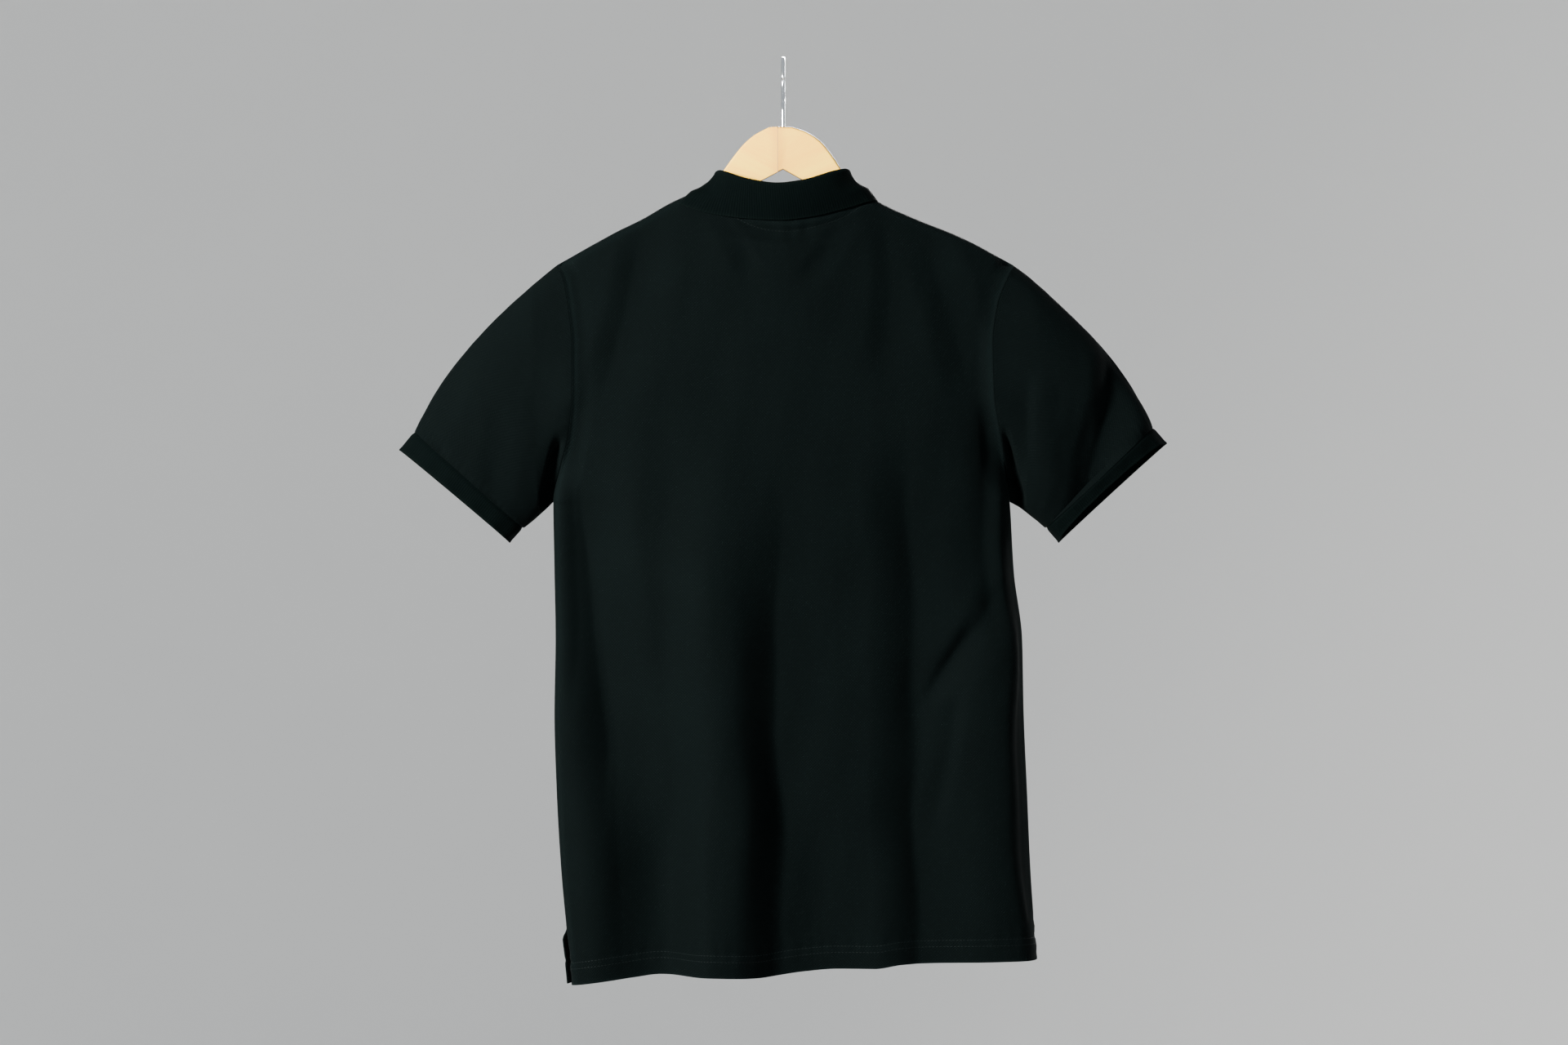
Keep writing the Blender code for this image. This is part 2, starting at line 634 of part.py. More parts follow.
def make_garment():
    """Front, back, sleeves, cuffs, plackets and collar, each from its neighbours' own points."""
    back, front = panel_grid(BACK), panel_grid(FRONT)
    back_normals, front_normals = BACK * grid_normals(back), FRONT * grid_normals(front)
    left, right = sleeve_grid(back, front, 0, LEFT_SLEEVE), sleeve_grid(back, front, -1, RIGHT_SLEEVE)
    left_normals = LEFT * grid_normals(left, wrap=True)
    right_normals = RIGHT * grid_normals(right, wrap=True)
    join_sleeve(left_normals, back_normals, front_normals, 0)
    join_sleeve(right_normals, back_normals, front_normals, -1)
    join_panels(back_normals, front_normals)
    back_inner, front_inner = back - WALL * back_normals, front - WALL * front_normals
    wall("back_panel", CLOTH, back, back_inner)
    middle = front.shape[1] // 2
    notch = {(row, column) for row in range(PLACKET_ROWS) for column in (middle - 1, middle)}
    wall("front_panel", CLOTH, front, front_inner, left_out=notch)
    wall("left_sleeve", CLOTH, left, left - WALL * left_normals, wrap=True)
    wall("right_sleeve", CLOTH, right, right - WALL * right_normals, wrap=True)
    make_cuff("left_cuff", LEFT, left, left_normals[-1], LEFT_CUFF_EDGE, LEFT_CUFF_BOW)
    make_cuff("right_cuff", RIGHT, right, right_normals[-1], RIGHT_CUFF_EDGE, RIGHT_CUFF_BOW)
    make_plackets(front, front_normals)
    make_collar(neck_path(back, front), neck_path(back_inner, front_inner))


def make_cuff(name, side, sleeve, seam_normals, edge, bow):
    grid = cuff_grid(sleeve, edge, bow)
    normals = side * grid_normals(grid, wrap=True)
    normals[0] = seam_normals
    wall(name, RIB, grid, grid - RIB_WALL * normals, wrap=True)


def make_plackets(front, normals):
    """Two strips made from the front's own points: one fills the notch, one lies over it."""
    middle = front.shape[1] // 2
    columns = slice(middle - 2, middle + 3)
    rows = slice(0, PLACKET_ROWS + 1)
    strip, strip_normals = front[rows, columns].copy(), normals[rows, columns]
    overrun = lerp(front[PLACKET_ROWS, columns], front[PLACKET_ROWS + 1, columns], PLACKET_OVERRUN)
    over = np.concatenate([strip, overrun[None]])
    over_normals = np.concatenate([strip_normals, strip_normals[-1:]])
    over_inner = over + LAY_GAP * over_normals
    wall("placket_over", CLOTH, over_inner + PLACKET_WALL * over_normals, over_inner)
    under, under_normals = strip[:, 1:4].copy(), strip_normals[:, 1:4]
    inset = TURNED_GAP * unit(under[:, 2] - under[:, 0])
    under[:, 0] += inset
    under[:, 2] -= inset
    under[-1] += TURNED_GAP * unit(under[-2] - under[-1])
    wall("placket_under", CLOTH, under, under - WALL * under_normals)


def make_collar(foot, foot_inner):
    """The collar's foot repeats the panels' neck edge, so that the seam is even all round."""
    seam = (foot + foot_inner) / 2
    grid = collar_grid(seam)
    normals = grid_normals(np.concatenate([[seam], grid]))[1:]
    outer, inner = grid + RIB_WALL / 2 * normals, grid - RIB_WALL / 2 * normals
    rise = SEAM_GAP * unit(grid[0] - seam)
    outer = np.concatenate([[foot + rise], outer])
    inner = np.concatenate([[foot_inner + rise], inner])
    wall("collar", RIB, outer, inner)


# Buttons, hanger and hook


def turned(name, finish, profile, sides):
    """Solid of revolution about +Z; the profile's (radius, height) points run from axis to axis."""
    mesh = bmesh.new()
    angles = [2 * math.pi * i / sides for i in range(sides)]
    rings = []
    for radius, height in profile:
        around = angles if radius else angles[:1]
        rings.append([mesh.verts.new((radius * math.cos(a), radius * math.sin(a), height)) for a in around])
    for lower, upper in zip(rings, rings[1:]):
        for i in range(sides):
            here, after = i, (i + 1) % sides
            corners = [lower[here % len(lower)], lower[after % len(lower)]]
            corners += [upper[after % len(upper)], upper[here % len(upper)]]
            mesh.faces.new(list(dict.fromkeys(corners)))
    return finished(name, mesh, finish)


def make_buttons():
    """Round buttons with a raised rim, standing on the upper placket."""
    profile = [(rim.radius * BUTTON_RADIUS, rim.height * BUTTON_HEIGHT) for rim in BUTTON_PROFILE]
    centre_x = (NECK_LEFT_X + NECK_RIGHT_X) / 2
    lift = LAY_GAP + PLACKET_WALL + 2 * LAY_GAP
    for number, z in enumerate(BUTTON_HEIGHTS_Z, start=1):
        button = turned(f"button_{number}", BUTTON, profile, BUTTON_SIDES)
        ends_z = np.array([z + BUTTON_RADIUS, z - BUTTON_RADIUS])
        above, below = stand_off(FRONT, np.full(2, centre_x), ends_z)
        lean = math.atan2(below - above, 2 * BUTTON_RADIUS)
        button.rotation_euler = (-math.pi / 2 + lean, 0, 0)
        button.location = (centre_x, (above + below) / 2 + lift, z)


def wood_tip(side, tip, slope):
    """Round end of the wood: from the arm's last upper point to the point straight below it."""
    radius = WOOD_TIP_RADIUS
    centre = (tip[0] + side * radius * math.sin(slope), tip[1] - radius * math.cos(slope))
    turns = np.linspace(math.pi / 2, -math.pi / 2, WOOD_TIP_STEPS + 2)[1:] + slope
    return [(centre[0] + side * radius * math.cos(t), centre[1] + radius * math.sin(t)) for t in turns]


def wood_outline(side):
    """Outline of one half of the hanger, from the joint along the top to the tip and back below."""
    if side == LEFT:
        hump, neck, end, underside = HUMP_LEFT, NECK_LEFT_X, WOOD_LEFT_END, UNDERSIDE_LEFT
        hump_x = np.linspace(hump[-1].x, hump[0].x, HUMP_POINTS)
    else:
        hump, neck, end, underside = HUMP_RIGHT, NECK_RIGHT_X, WOOD_RIGHT_END, UNDERSIDE_RIGHT
        hump_x = np.linspace(hump[0].x, hump[-1].x, HUMP_POINTS)
    joint = WOOD_JOINT_X + side * SEAM_GAP / 2
    crest_z = max(HUMP_LEFT[-1].z, HUMP_RIGHT[0].z)
    over_hump = zip(hump_x, curve(named(hump, "x"), named(hump, "z"), hump_x))
    arm = [(x, float(shoulder_z(x)) - WOOD_DROP) for x in np.linspace(neck, end, ARM_POINTS)]
    slope = math.atan2(arm[-1][1] - arm[-2][1], abs(arm[-1][0] - arm[-2][0]))
    below = [(underside.x, underside.z)]
    if side == RIGHT:
        below.append((NOTCH_APEX.x, NOTCH_APEX.z))
    notch_share = (joint - NOTCH_APEX.x) / (UNDERSIDE_LEFT.x - NOTCH_APEX.x)
    below.append((joint, lerp(NOTCH_APEX.z, UNDERSIDE_LEFT.z, notch_share)))
    return [(joint, crest_z), *over_hump, *arm, *wood_tip(side, arm[-1], slope), *below]


def make_hanger_half(name, side):
    """Flat wood cut to the outline, with its edges rounded."""
    mesh = bmesh.new()
    outline = [mesh.verts.new((x, -WOOD_HALF, z)) for x, z in wood_outline(side)]
    face = mesh.faces.new(outline)
    extruded = bmesh.ops.extrude_face_region(mesh, geom=[face])
    moved = [item for item in extruded["geom"] if isinstance(item, bmesh.types.BMVert)]
    bmesh.ops.translate(mesh, verts=moved, vec=(0, 2 * WOOD_HALF, 0))
    joint = WOOD_JOINT_X + side * SEAM_GAP / 2
    rounded = mesh.edges.layers.float.new("bevel_weight_edge")
    for edge in mesh.edges:
        start, end = (vert.co for vert in edge.verts)
        at_joint = math.isclose(start.x, joint, abs_tol=TOUCH) and math.isclose(end.x, joint, abs_tol=TOUCH)
        along_outline = math.isclose(start.y, end.y, abs_tol=TOUCH)
        edge[rounded] = 1.0 if along_outline and not at_joint else 0.0
    half = finished(name, mesh, WOOD)
    bevel = half.modifiers.new("rounded edges", "BEVEL")
    bevel.width = WOOD_BEVEL
    bevel.segments = 2
    bevel.limit_method = "WEIGHT"
    return half


def bore_for_hook(half):
    """Blind hole for the shank, from above."""
    bpy.ops.mesh.primitive_cylinder_add(vertices=16, radius=SHANK_HOLE, depth=BORE_LENGTH)
    bore = bpy.context.active_object
    bore.name = "hook_bore"
    bore.location = (0, 0, SHANK_BOTTOM - SEAM_GAP + BORE_LENGTH / 2)
    bore.hide_render = True
    bore.display_type = "WIRE"
    cut = half.modifiers.new("hook bore", "BOOLEAN")
    cut.operation = "DIFFERENCE"
    cut.solver = "EXACT"
    cut.object = bore


def hook_route():
    """Centre line of the wire as (y, z) points, from its open tip to the foot of the shank."""
    centre_z = WIRE_RADIUS - HOOK_RADIUS
    points = []
    for angle in np.radians(np.linspace(HOOK_OPEN_ANGLE, HOOK_END_ANGLE, HOOK_STEPS + 1)):
        points.append((HOOK_RADIUS * math.cos(angle), centre_z + HOOK_RADIUS * math.sin(angle)))
    end_y, end_z = points[-1]
    last = -math.radians(HOOK_END_ANGLE)
    radius = end_y / (1 - math.cos(last))
    for angle in np.linspace(last, 0, NECK_STEPS + 1)[1:]:
        y = radius * (1 - math.cos(angle))
        points.append((y, end_z - radius * (math.sin(last) - math.sin(angle))))
    points.append((0.0, SHANK_BOTTOM))
    return points


def make_hook():
    """Round wire swept along its route."""
    route = hook_route()
    data = bpy.data.curves.new("hook", "CURVE")
    data.dimensions = "3D"
    data.bevel_depth = WIRE_RADIUS
    data.bevel_resolution = 2
    data.use_fill_caps = True
    spline = data.splines.new("POLY")
    spline.points.add(len(route) - 1)
    for point, (y, z) in zip(spline.points, route):
        point.co = (0, y, z, 1)
    spline.use_smooth = True
    data.materials.append(material("hook", CHROME))
    hook = bpy.data.objects.new("hook", data)
    bpy.context.scene.collection.objects.link(hook)


clear_scene()
make_garment()
make_buttons()
make_hanger_half("hanger_left", LEFT)
bore_for_hook(make_hanger_half("hanger_right", RIGHT))
make_hook()
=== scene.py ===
# %% [markdown]
# # A polo shirt on a wooden hanger
# The solids come packed from the CAD model, and this lesson gives them their looks. A knitted shirt is
# thin, soft and nearly black, so what the eye reads is its form: how each cut piece hangs, where it
# folds, and how the knit, the ribs and the stitches catch the light. We load the solids first; the cloth
# we make has to stay inside them.

# %% Load the imported solids
import math
from collections import namedtuple

import bmesh
import bpy
import numpy as np
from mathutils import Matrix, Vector
from mathutils.bvhtree import BVHTree


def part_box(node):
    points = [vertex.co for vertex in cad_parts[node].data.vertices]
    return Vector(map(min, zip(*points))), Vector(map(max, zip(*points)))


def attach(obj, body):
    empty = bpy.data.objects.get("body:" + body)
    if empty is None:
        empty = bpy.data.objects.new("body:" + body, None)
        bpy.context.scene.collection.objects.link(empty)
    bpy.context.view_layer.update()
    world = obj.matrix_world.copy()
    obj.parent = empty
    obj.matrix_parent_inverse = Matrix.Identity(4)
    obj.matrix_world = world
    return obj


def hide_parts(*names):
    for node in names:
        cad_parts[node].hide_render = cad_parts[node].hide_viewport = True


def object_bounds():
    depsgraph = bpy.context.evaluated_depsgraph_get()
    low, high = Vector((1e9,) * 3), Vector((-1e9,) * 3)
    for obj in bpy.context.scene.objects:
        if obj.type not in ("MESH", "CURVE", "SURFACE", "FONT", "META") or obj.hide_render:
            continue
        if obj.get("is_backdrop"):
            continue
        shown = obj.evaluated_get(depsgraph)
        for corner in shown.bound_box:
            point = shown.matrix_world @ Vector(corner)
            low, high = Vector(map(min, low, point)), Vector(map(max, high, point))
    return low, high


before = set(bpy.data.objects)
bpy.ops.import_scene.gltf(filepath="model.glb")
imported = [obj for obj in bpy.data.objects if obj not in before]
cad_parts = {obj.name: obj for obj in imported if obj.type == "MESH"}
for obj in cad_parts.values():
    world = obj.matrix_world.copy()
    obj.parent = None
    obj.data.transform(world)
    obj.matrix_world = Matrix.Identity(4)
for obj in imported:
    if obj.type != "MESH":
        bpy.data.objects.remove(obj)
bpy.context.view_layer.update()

print("solids:", sorted(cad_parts))

# %% [markdown]
# ## Small tools
# An operator works on whatever is selected, and loading leaves the solids selected. So one helper
# clears the selection and picks a single piece before each step. The others are plain arithmetic:
# straight and smooth blends, and a curve through a short list of sizes that never overshoots them.

# %% Selection and arithmetic
BACK, FRONT = -1, 1
LEFT, RIGHT = -1, 1


def pick(piece):
    """Makes one piece the only selected and active one."""
    if bpy.context.object and bpy.context.object.mode != "OBJECT":
        bpy.ops.object.mode_set(mode="OBJECT")
    bpy.ops.object.select_all(action="DESELECT")
    piece.select_set(True)
    bpy.context.view_layer.objects.active = piece
    return piece


def added(name):
    """Names the object that the last operator added."""
    piece = bpy.context.active_object
    piece.name = piece.data.name = name
    return piece


def lerp(a, b, t):
    return a + (b - a) * t


def smoothstep(low, high, value):
    t = np.clip((np.asarray(value, float) - low) / (high - low), 0.0, 1.0)
    return t * t * (3 - 2 * t)


def unit(vectors):
    return vectors / np.linalg.norm(vectors, axis=-1, keepdims=True)


def column(rows, name):
    """One column of a table, as an array."""
    return np.array([getattr(row, name) for row in rows])


def curve(knots, values, at):
    """Smooth curve through (knots, values) that never overshoots them; flat beyond its ends."""
    knots, values = np.asarray(knots, float), np.asarray(values, float)
    span = np.diff(knots)
    rise = np.diff(values) / span
    slope = np.empty_like(values)
    slope[0], slope[-1] = rise[0], rise[-1]
    before, after = rise[:-1], rise[1:]
    same_way = before * after > 0
    total = np.where(same_way, before + after, 1.0)
    slope[1:-1] = np.where(same_way, 2 * before * after / total, 0.0)
    at = np.clip(np.asarray(at, float), knots[0], knots[-1])
    k = np.clip(np.searchsorted(knots, at, side="right") - 1, 0, len(span) - 1)
    t = (at - knots[k]) / span[k]
    start = (1 + 2 * t) * (1 - t) ** 2 * values[k] + t * (1 - t) ** 2 * span[k] * slope[k]
    end = t**2 * (3 - 2 * t) * values[k + 1] + t**2 * (t - 1) * span[k] * slope[k + 1]
    return start + end


# %% [markdown]
# ## Camera
# The camera stands straight behind the shirt, level with the middle of the picture, far enough away
# that the sleeves don't flare. A long lens does the same in a studio.

# %% Place the camera
PICTURE_WIDTH = 1.44
PICTURE_MIDDLE = Vector((0.0008, 0.0, -0.4238))
CAMERA_DISTANCE = 5.0

bpy.ops.object.select_all(action="DESELECT")
standing_place = PICTURE_MIDDLE + Vector((0, -CAMERA_DISTANCE, 0))
bpy.ops.object.camera_add(location=standing_place, rotation=(math.pi / 2, 0, 0))
camera = added("camera")
camera.data.lens = camera.data.sensor_width * CAMERA_DISTANCE / PICTURE_WIDTH
bpy.context.scene.camera = camera
print("lens in mm:", round(camera.data.lens, 1))

# %% [markdown]
# ## The stage
# The shirt hangs as if from a rail at head height, above a pale floor that curves up into a round wall
# on every side. The curve hides the corner, and the same bowl serves from whichever side we look. It is
# a circle, filled, whose rim is pushed out, then bent up by a few spun steps of a quarter turn.

# %% Make the floor and the wall around it
FLOOR_DROP = 1.90
FLAT_RADIUS = 4.2
COVE_RADIUS = 2.4
WALL_RISE = 3.6
COVE_STEPS = 16
RIM_POINTS = 96

bpy.ops.object.select_all(action="DESELECT")
bpy.ops.mesh.primitive_circle_add(
    vertices=RIM_POINTS, radius=FLAT_RADIUS, fill_type="NGON", location=(0, 0, -FLOOR_DROP)
)
stage = added("floor_and_wall")
bpy.ops.object.transform_apply(location=True, rotation=True, scale=True)
shape = bmesh.new()
shape.from_mesh(stage.data)
rim = [edge for edge in shape.edges if edge.is_boundary]
angles = [math.pi / 2 * step / COVE_STEPS for step in range(1, COVE_STEPS + 1)]
profile = [(FLAT_RADIUS + COVE_RADIUS * math.sin(a), COVE_RADIUS * (1 - math.cos(a))) for a in angles]
profile.append((FLAT_RADIUS + COVE_RADIUS, COVE_RADIUS + WALL_RISE))
for radius, height in profile:
    grown = bmesh.ops.extrude_edge_only(shape, edges=rim)["geom"]
    rim = [item for item in grown if isinstance(item, bmesh.types.BMEdge)]
    for vert in {vert for edge in rim for vert in edge.verts}:
        flat = Vector((vert.co.x, vert.co.y, 0)).normalized() * radius
        vert.co = (flat.x, flat.y, height - FLOOR_DROP)
bmesh.ops.recalc_face_normals(shape, faces=shape.faces)
shape.to_mesh(stage.data)
shape.free()
stage.data.shade_smooth()
stage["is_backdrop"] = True
print("floor", FLOOR_DROP, "m below the rail,", len(stage.data.polygons), "faces")

# %% [markdown]
# ## Light
# One large soft lamp stands to the left, on the camera's side and above, so that every long fold has a
# lit side and a shaded side. A weaker one on the right keeps the far side readable, a narrow one beyond
# the right shoulder draws the light edge down that side, and one beyond the shirt lights its front, with
# the collar and the buttons. The pale bowl sends back the rest.

# %% Hang the lamps
SHIRT_MIDDLE = Vector((0, 0, -0.42))
AIR_COLOUR, AIR_STRENGTH = (0.93, 0.96, 1.0, 1.0), 0.75
Lamp = namedtuple("Lamp", "name place size power spread colour")
LAMPS = [
    Lamp("key_lamp", (-2.6, -2.3, 0.5), 0.9, 87, 60, (1.0, 0.98, 0.95)),
    Lamp("fill_lamp", (2.2, -2.8, -0.4), 1.6, 6, 80, (0.94, 0.98, 1.0)),
    Lamp("edge_lamp", (2.2, 1.5, 0.5), 0.8, 5, 60, (0.96, 1.0, 1.0)),
    Lamp("front_lamp", (0.3, 3.2, 0.8), 1.2, 50, 60, (1.0, 0.99, 0.97)),
]
for lamp in LAMPS:
    bpy.ops.object.select_all(action="DESELECT")
    aim = SHIRT_MIDDLE - Vector(lamp.place)
    turn = aim.to_track_quat("-Z", "Y").to_euler()
    bpy.ops.object.light_add(type="AREA", location=lamp.place, rotation=turn)
    light = added(lamp.name)
    light.data.shape = "DISK"
    light.data.size = lamp.size
    light.data.energy = lamp.power
    light.data.spread = math.radians(lamp.spread)
    light.data.color = lamp.colour
world = bpy.data.worlds.new("studio_air")
world.use_nodes = True
world.node_tree.nodes["Background"].inputs["Color"].default_value = AIR_COLOUR
world.node_tree.nodes["Background"].inputs["Strength"].default_value = AIR_STRENGTH
bpy.context.scene.world = world
print("lamps:", [lamp.name for lamp in LAMPS])

# %% [markdown]
# ## The form of the shirt
# A hanging shirt is two panels that leave each other at the shoulders and side seams and stand a few
# centimetres apart in between. So its form needs only a few lists: where the sides are at each height,
# where the shoulder line and the hem run, and how far the cloth stands off the middle plane as it
# drops away from the shoulders. They follow the solids within a few millimetres, so the cloth lies where
# its solid does. Lengths are in metres, and heights are negative, since the rail is at zero. Everything
# finer, such as creases and puckers, is laid on afterwards.

# %% Lists of the shirt's sizes
WALL = 0.0014
RIB_WALL = 0.0020
SEAM_GAP = 0.0003
SHOULDER_Z, ARMPIT_Z = -0.188, -0.405
NECK_LEFT_X, NECK_RIGHT_X = -0.085, 0.081
BACK_NECK_DROP, FRONT_NECK_DROP = 0.0215, 0.083
BACK_NECK_SHAPE, FRONT_NECK_SHAPE = 1.05, 1.25
VENT_HEIGHT, VENT_GAPE, VENT_PEEK, HEM_HEIGHT = 0.040, 0.007, 0.005, 0.021
ARMHOLE_DEPTH, ARMHOLE_DRAW, BESIDE_SEAM, ARMHOLE_BLEND = 0.036, 0.60, 0.012, 0.020
ARMHOLE_SHARE, ARMPIT_BLEND = 0.92, 0.050
DRAW_FROM, DRAW_TO = 95, 165
CHEST_POWER, WAIST_POWER, EDGE_POWER = 8.0, 2.6, 12
CHEST_Z, WAIST_Z = -0.22, -0.46

Level = namedtuple("Level", "z left right")
SIDES = [
    Level(-0.188, -0.2085, 0.2120),
    Level(-0.199, -0.2020, 0.2060),
    Level(-0.225, -0.1970, 0.1960),
    Level(-0.260, -0.1932, 0.1915),
    Level(-0.305, -0.1930, 0.1925),
    Level(-0.340, -0.1955, 0.1980),
    Level(-0.370, -0.2030, 0.2030),
    Level(-0.405, -0.2110, 0.2080),
    Level(-0.470, -0.2100, 0.2120),
    Level(-0.530, -0.2090, 0.2195),
    Level(-0.600, -0.2100, 0.2210),
    Level(-0.670, -0.2080, 0.2240),
    Level(-0.740, -0.2040, 0.2270),
    Level(-0.800, -0.1985, 0.2310),
    Level(-0.847, -0.1935, 0.2340),
]
Along = namedtuple("Along", "x z")
SHOULDER = [
    Along(-0.2085, -0.1880),
    Along(-0.1750, -0.1688),
    Along(-0.1500, -0.1552),
    Along(-0.1300, -0.1455),
    Along(-0.1030, -0.1300),
    Along(-0.0850, -0.1218),
    Along(0.0000, -0.0850),
    Along(0.0810, -0.1250),
    Along(0.0890, -0.1300),
    Along(0.1250, -0.1463),
    Along(0.1550, -0.1582),
    Along(0.1750, -0.1675),
    Along(0.2120, -0.1880),
]
HEM = [
    Along(-0.1935, -0.8480),
    Along(-0.1400, -0.8395),
    Along(-0.1150, -0.8368),
    Along(-0.0650, -0.8372),
    Along(-0.0250, -0.8380),
    Along(0.0200, -0.8330),
    Along(0.0500, -0.8306),
    Along(0.0850, -0.8304),
    Along(0.1100, -0.8270),
    Along(0.1600, -0.8252),
    Along(0.2340, -0.8235),
]
Stand = namedtuple("Stand", "drop back front")
STAND_OFF = [
    Stand(0.000, 0.0000, 0.0000),
    Stand(0.0012, 0.0060, 0.0060),
    Stand(0.005, 0.0100, 0.0100),
    Stand(0.015, 0.0140, 0.0140),
    Stand(0.040, 0.0210, 0.0220),
    Stand(0.080, 0.0300, 0.0320),
    Stand(0.150, 0.0400, 0.0410),
    Stand(0.240, 0.0480, 0.0470),
    Stand(0.400, 0.0540, 0.0520),
    Stand(0.760, 0.0560, 0.0530),
]
print("shirt:", round(1000 * (SHOULDER[5].z - HEM[0].z)), "mm from neck point to hem")


# %% [markdown]
# The lists become functions: the side, the shoulder line, the neckline and the hem at any place, and the
# distance at which the cloth stands off the middle plane.

# %% Functions of the form
def side_x(side, z):
    name = "left" if side == LEFT else "right"
    return curve(-column(SIDES, "z"), column(SIDES, name), -np.asarray(z))


def shoulder_z(x):
    return curve(column(SHOULDER, "x"), column(SHOULDER, "z"), x)


def hem_z(x):
    return curve(column(HEM, "x"), column(HEM, "z"), x)


def neck_z(side, x):
    """Height of the neckline between the two neck points."""
    drop = BACK_NECK_DROP if side == BACK else FRONT_NECK_DROP
    shape = BACK_NECK_SHAPE if side == BACK else FRONT_NECK_SHAPE
    middle, half = (NECK_LEFT_X + NECK_RIGHT_X) / 2, (NECK_RIGHT_X - NECK_LEFT_X) / 2
    across = np.clip((x - middle) / half, -1.0, 1.0)
    points = shoulder_z(np.array([NECK_LEFT_X, NECK_RIGHT_X]))
    return lerp(points[0], points[1], (across + 1) / 2) - drop * (1 - across**2) ** shape


def top_z(side, x):
    """Height of a panel's upper edge: shoulder seam, neckline, shoulder seam."""
    inside = (x > NECK_LEFT_X) & (x < NECK_RIGHT_X)
    return np.where(inside, neck_z(side, x), shoulder_z(x))


def full_depth(side, x, z):
    """How far a panel would stand off by the drop from its shoulder alone."""
    drop = np.maximum(shoulder_z(x) - z, 0.0)
    return curve(column(STAND_OFF, "drop"), column(STAND_OFF, "back" if side == BACK else "front"), drop)


def edge_depth(side, z):
    """How far a panel's side edge stands off, along the armhole, the side seam and the vent."""
    down = np.clip((SHOULDER_Z - z) / (SHOULDER_Z - ARMPIT_Z), 0.0, 1.0)
    turn = np.arccos(1 - 2 * down)
    drawn = 1 - ARMHOLE_DRAW * smoothstep(math.radians(DRAW_FROM), math.radians(DRAW_TO), turn)
    vent_top = hem_z(0.0) + VENT_HEIGHT
    beside = full_depth(side, side_x(LEFT, z) + BESIDE_SEAM, z)
    armhole = np.minimum(ARMHOLE_DEPTH * np.sin(turn) * drawn, ARMHOLE_SHARE * beside)
    return armhole + VENT_GAPE * smoothstep(0, 1, (vent_top - z) / VENT_HEIGHT)


def stand_off(side, x, z):
    """Distance of a panel's plain form from the middle plane at (x, z)."""
    left, right = side_x(LEFT, z), side_x(RIGHT, z)
    across = np.clip((2 * x - left - right) / (right - left), -1.0, 1.0)
    power = lerp(CHEST_POWER, WAIST_POWER, smoothstep(CHEST_Z, WAIST_Z, z))
    round_off = (1 - np.abs(across) ** power) ** (1 / power)
    at_edge = 1 - (1 - np.abs(across) ** EDGE_POWER) ** (1 / EDGE_POWER)
    body, edge = full_depth(side, x, z) * round_off, edge_depth(side, z)
    beside = smoothstep(ARMHOLE_BLEND, 0, np.minimum(x - left, right - x))
    above_armpit = smoothstep(ARMPIT_Z, ARMPIT_Z + ARMPIT_BLEND, z)
    return lerp(body + edge * at_edge, lerp(body, edge, beside), above_armpit)


def on_panel(side, x, z):
    """Points of a panel's plain form at (x, z)."""
    y = side * np.maximum(stand_off(side, x, z), SEAM_GAP / 2)
    return np.stack(np.broadcast_arrays(x, y, z), axis=-1)
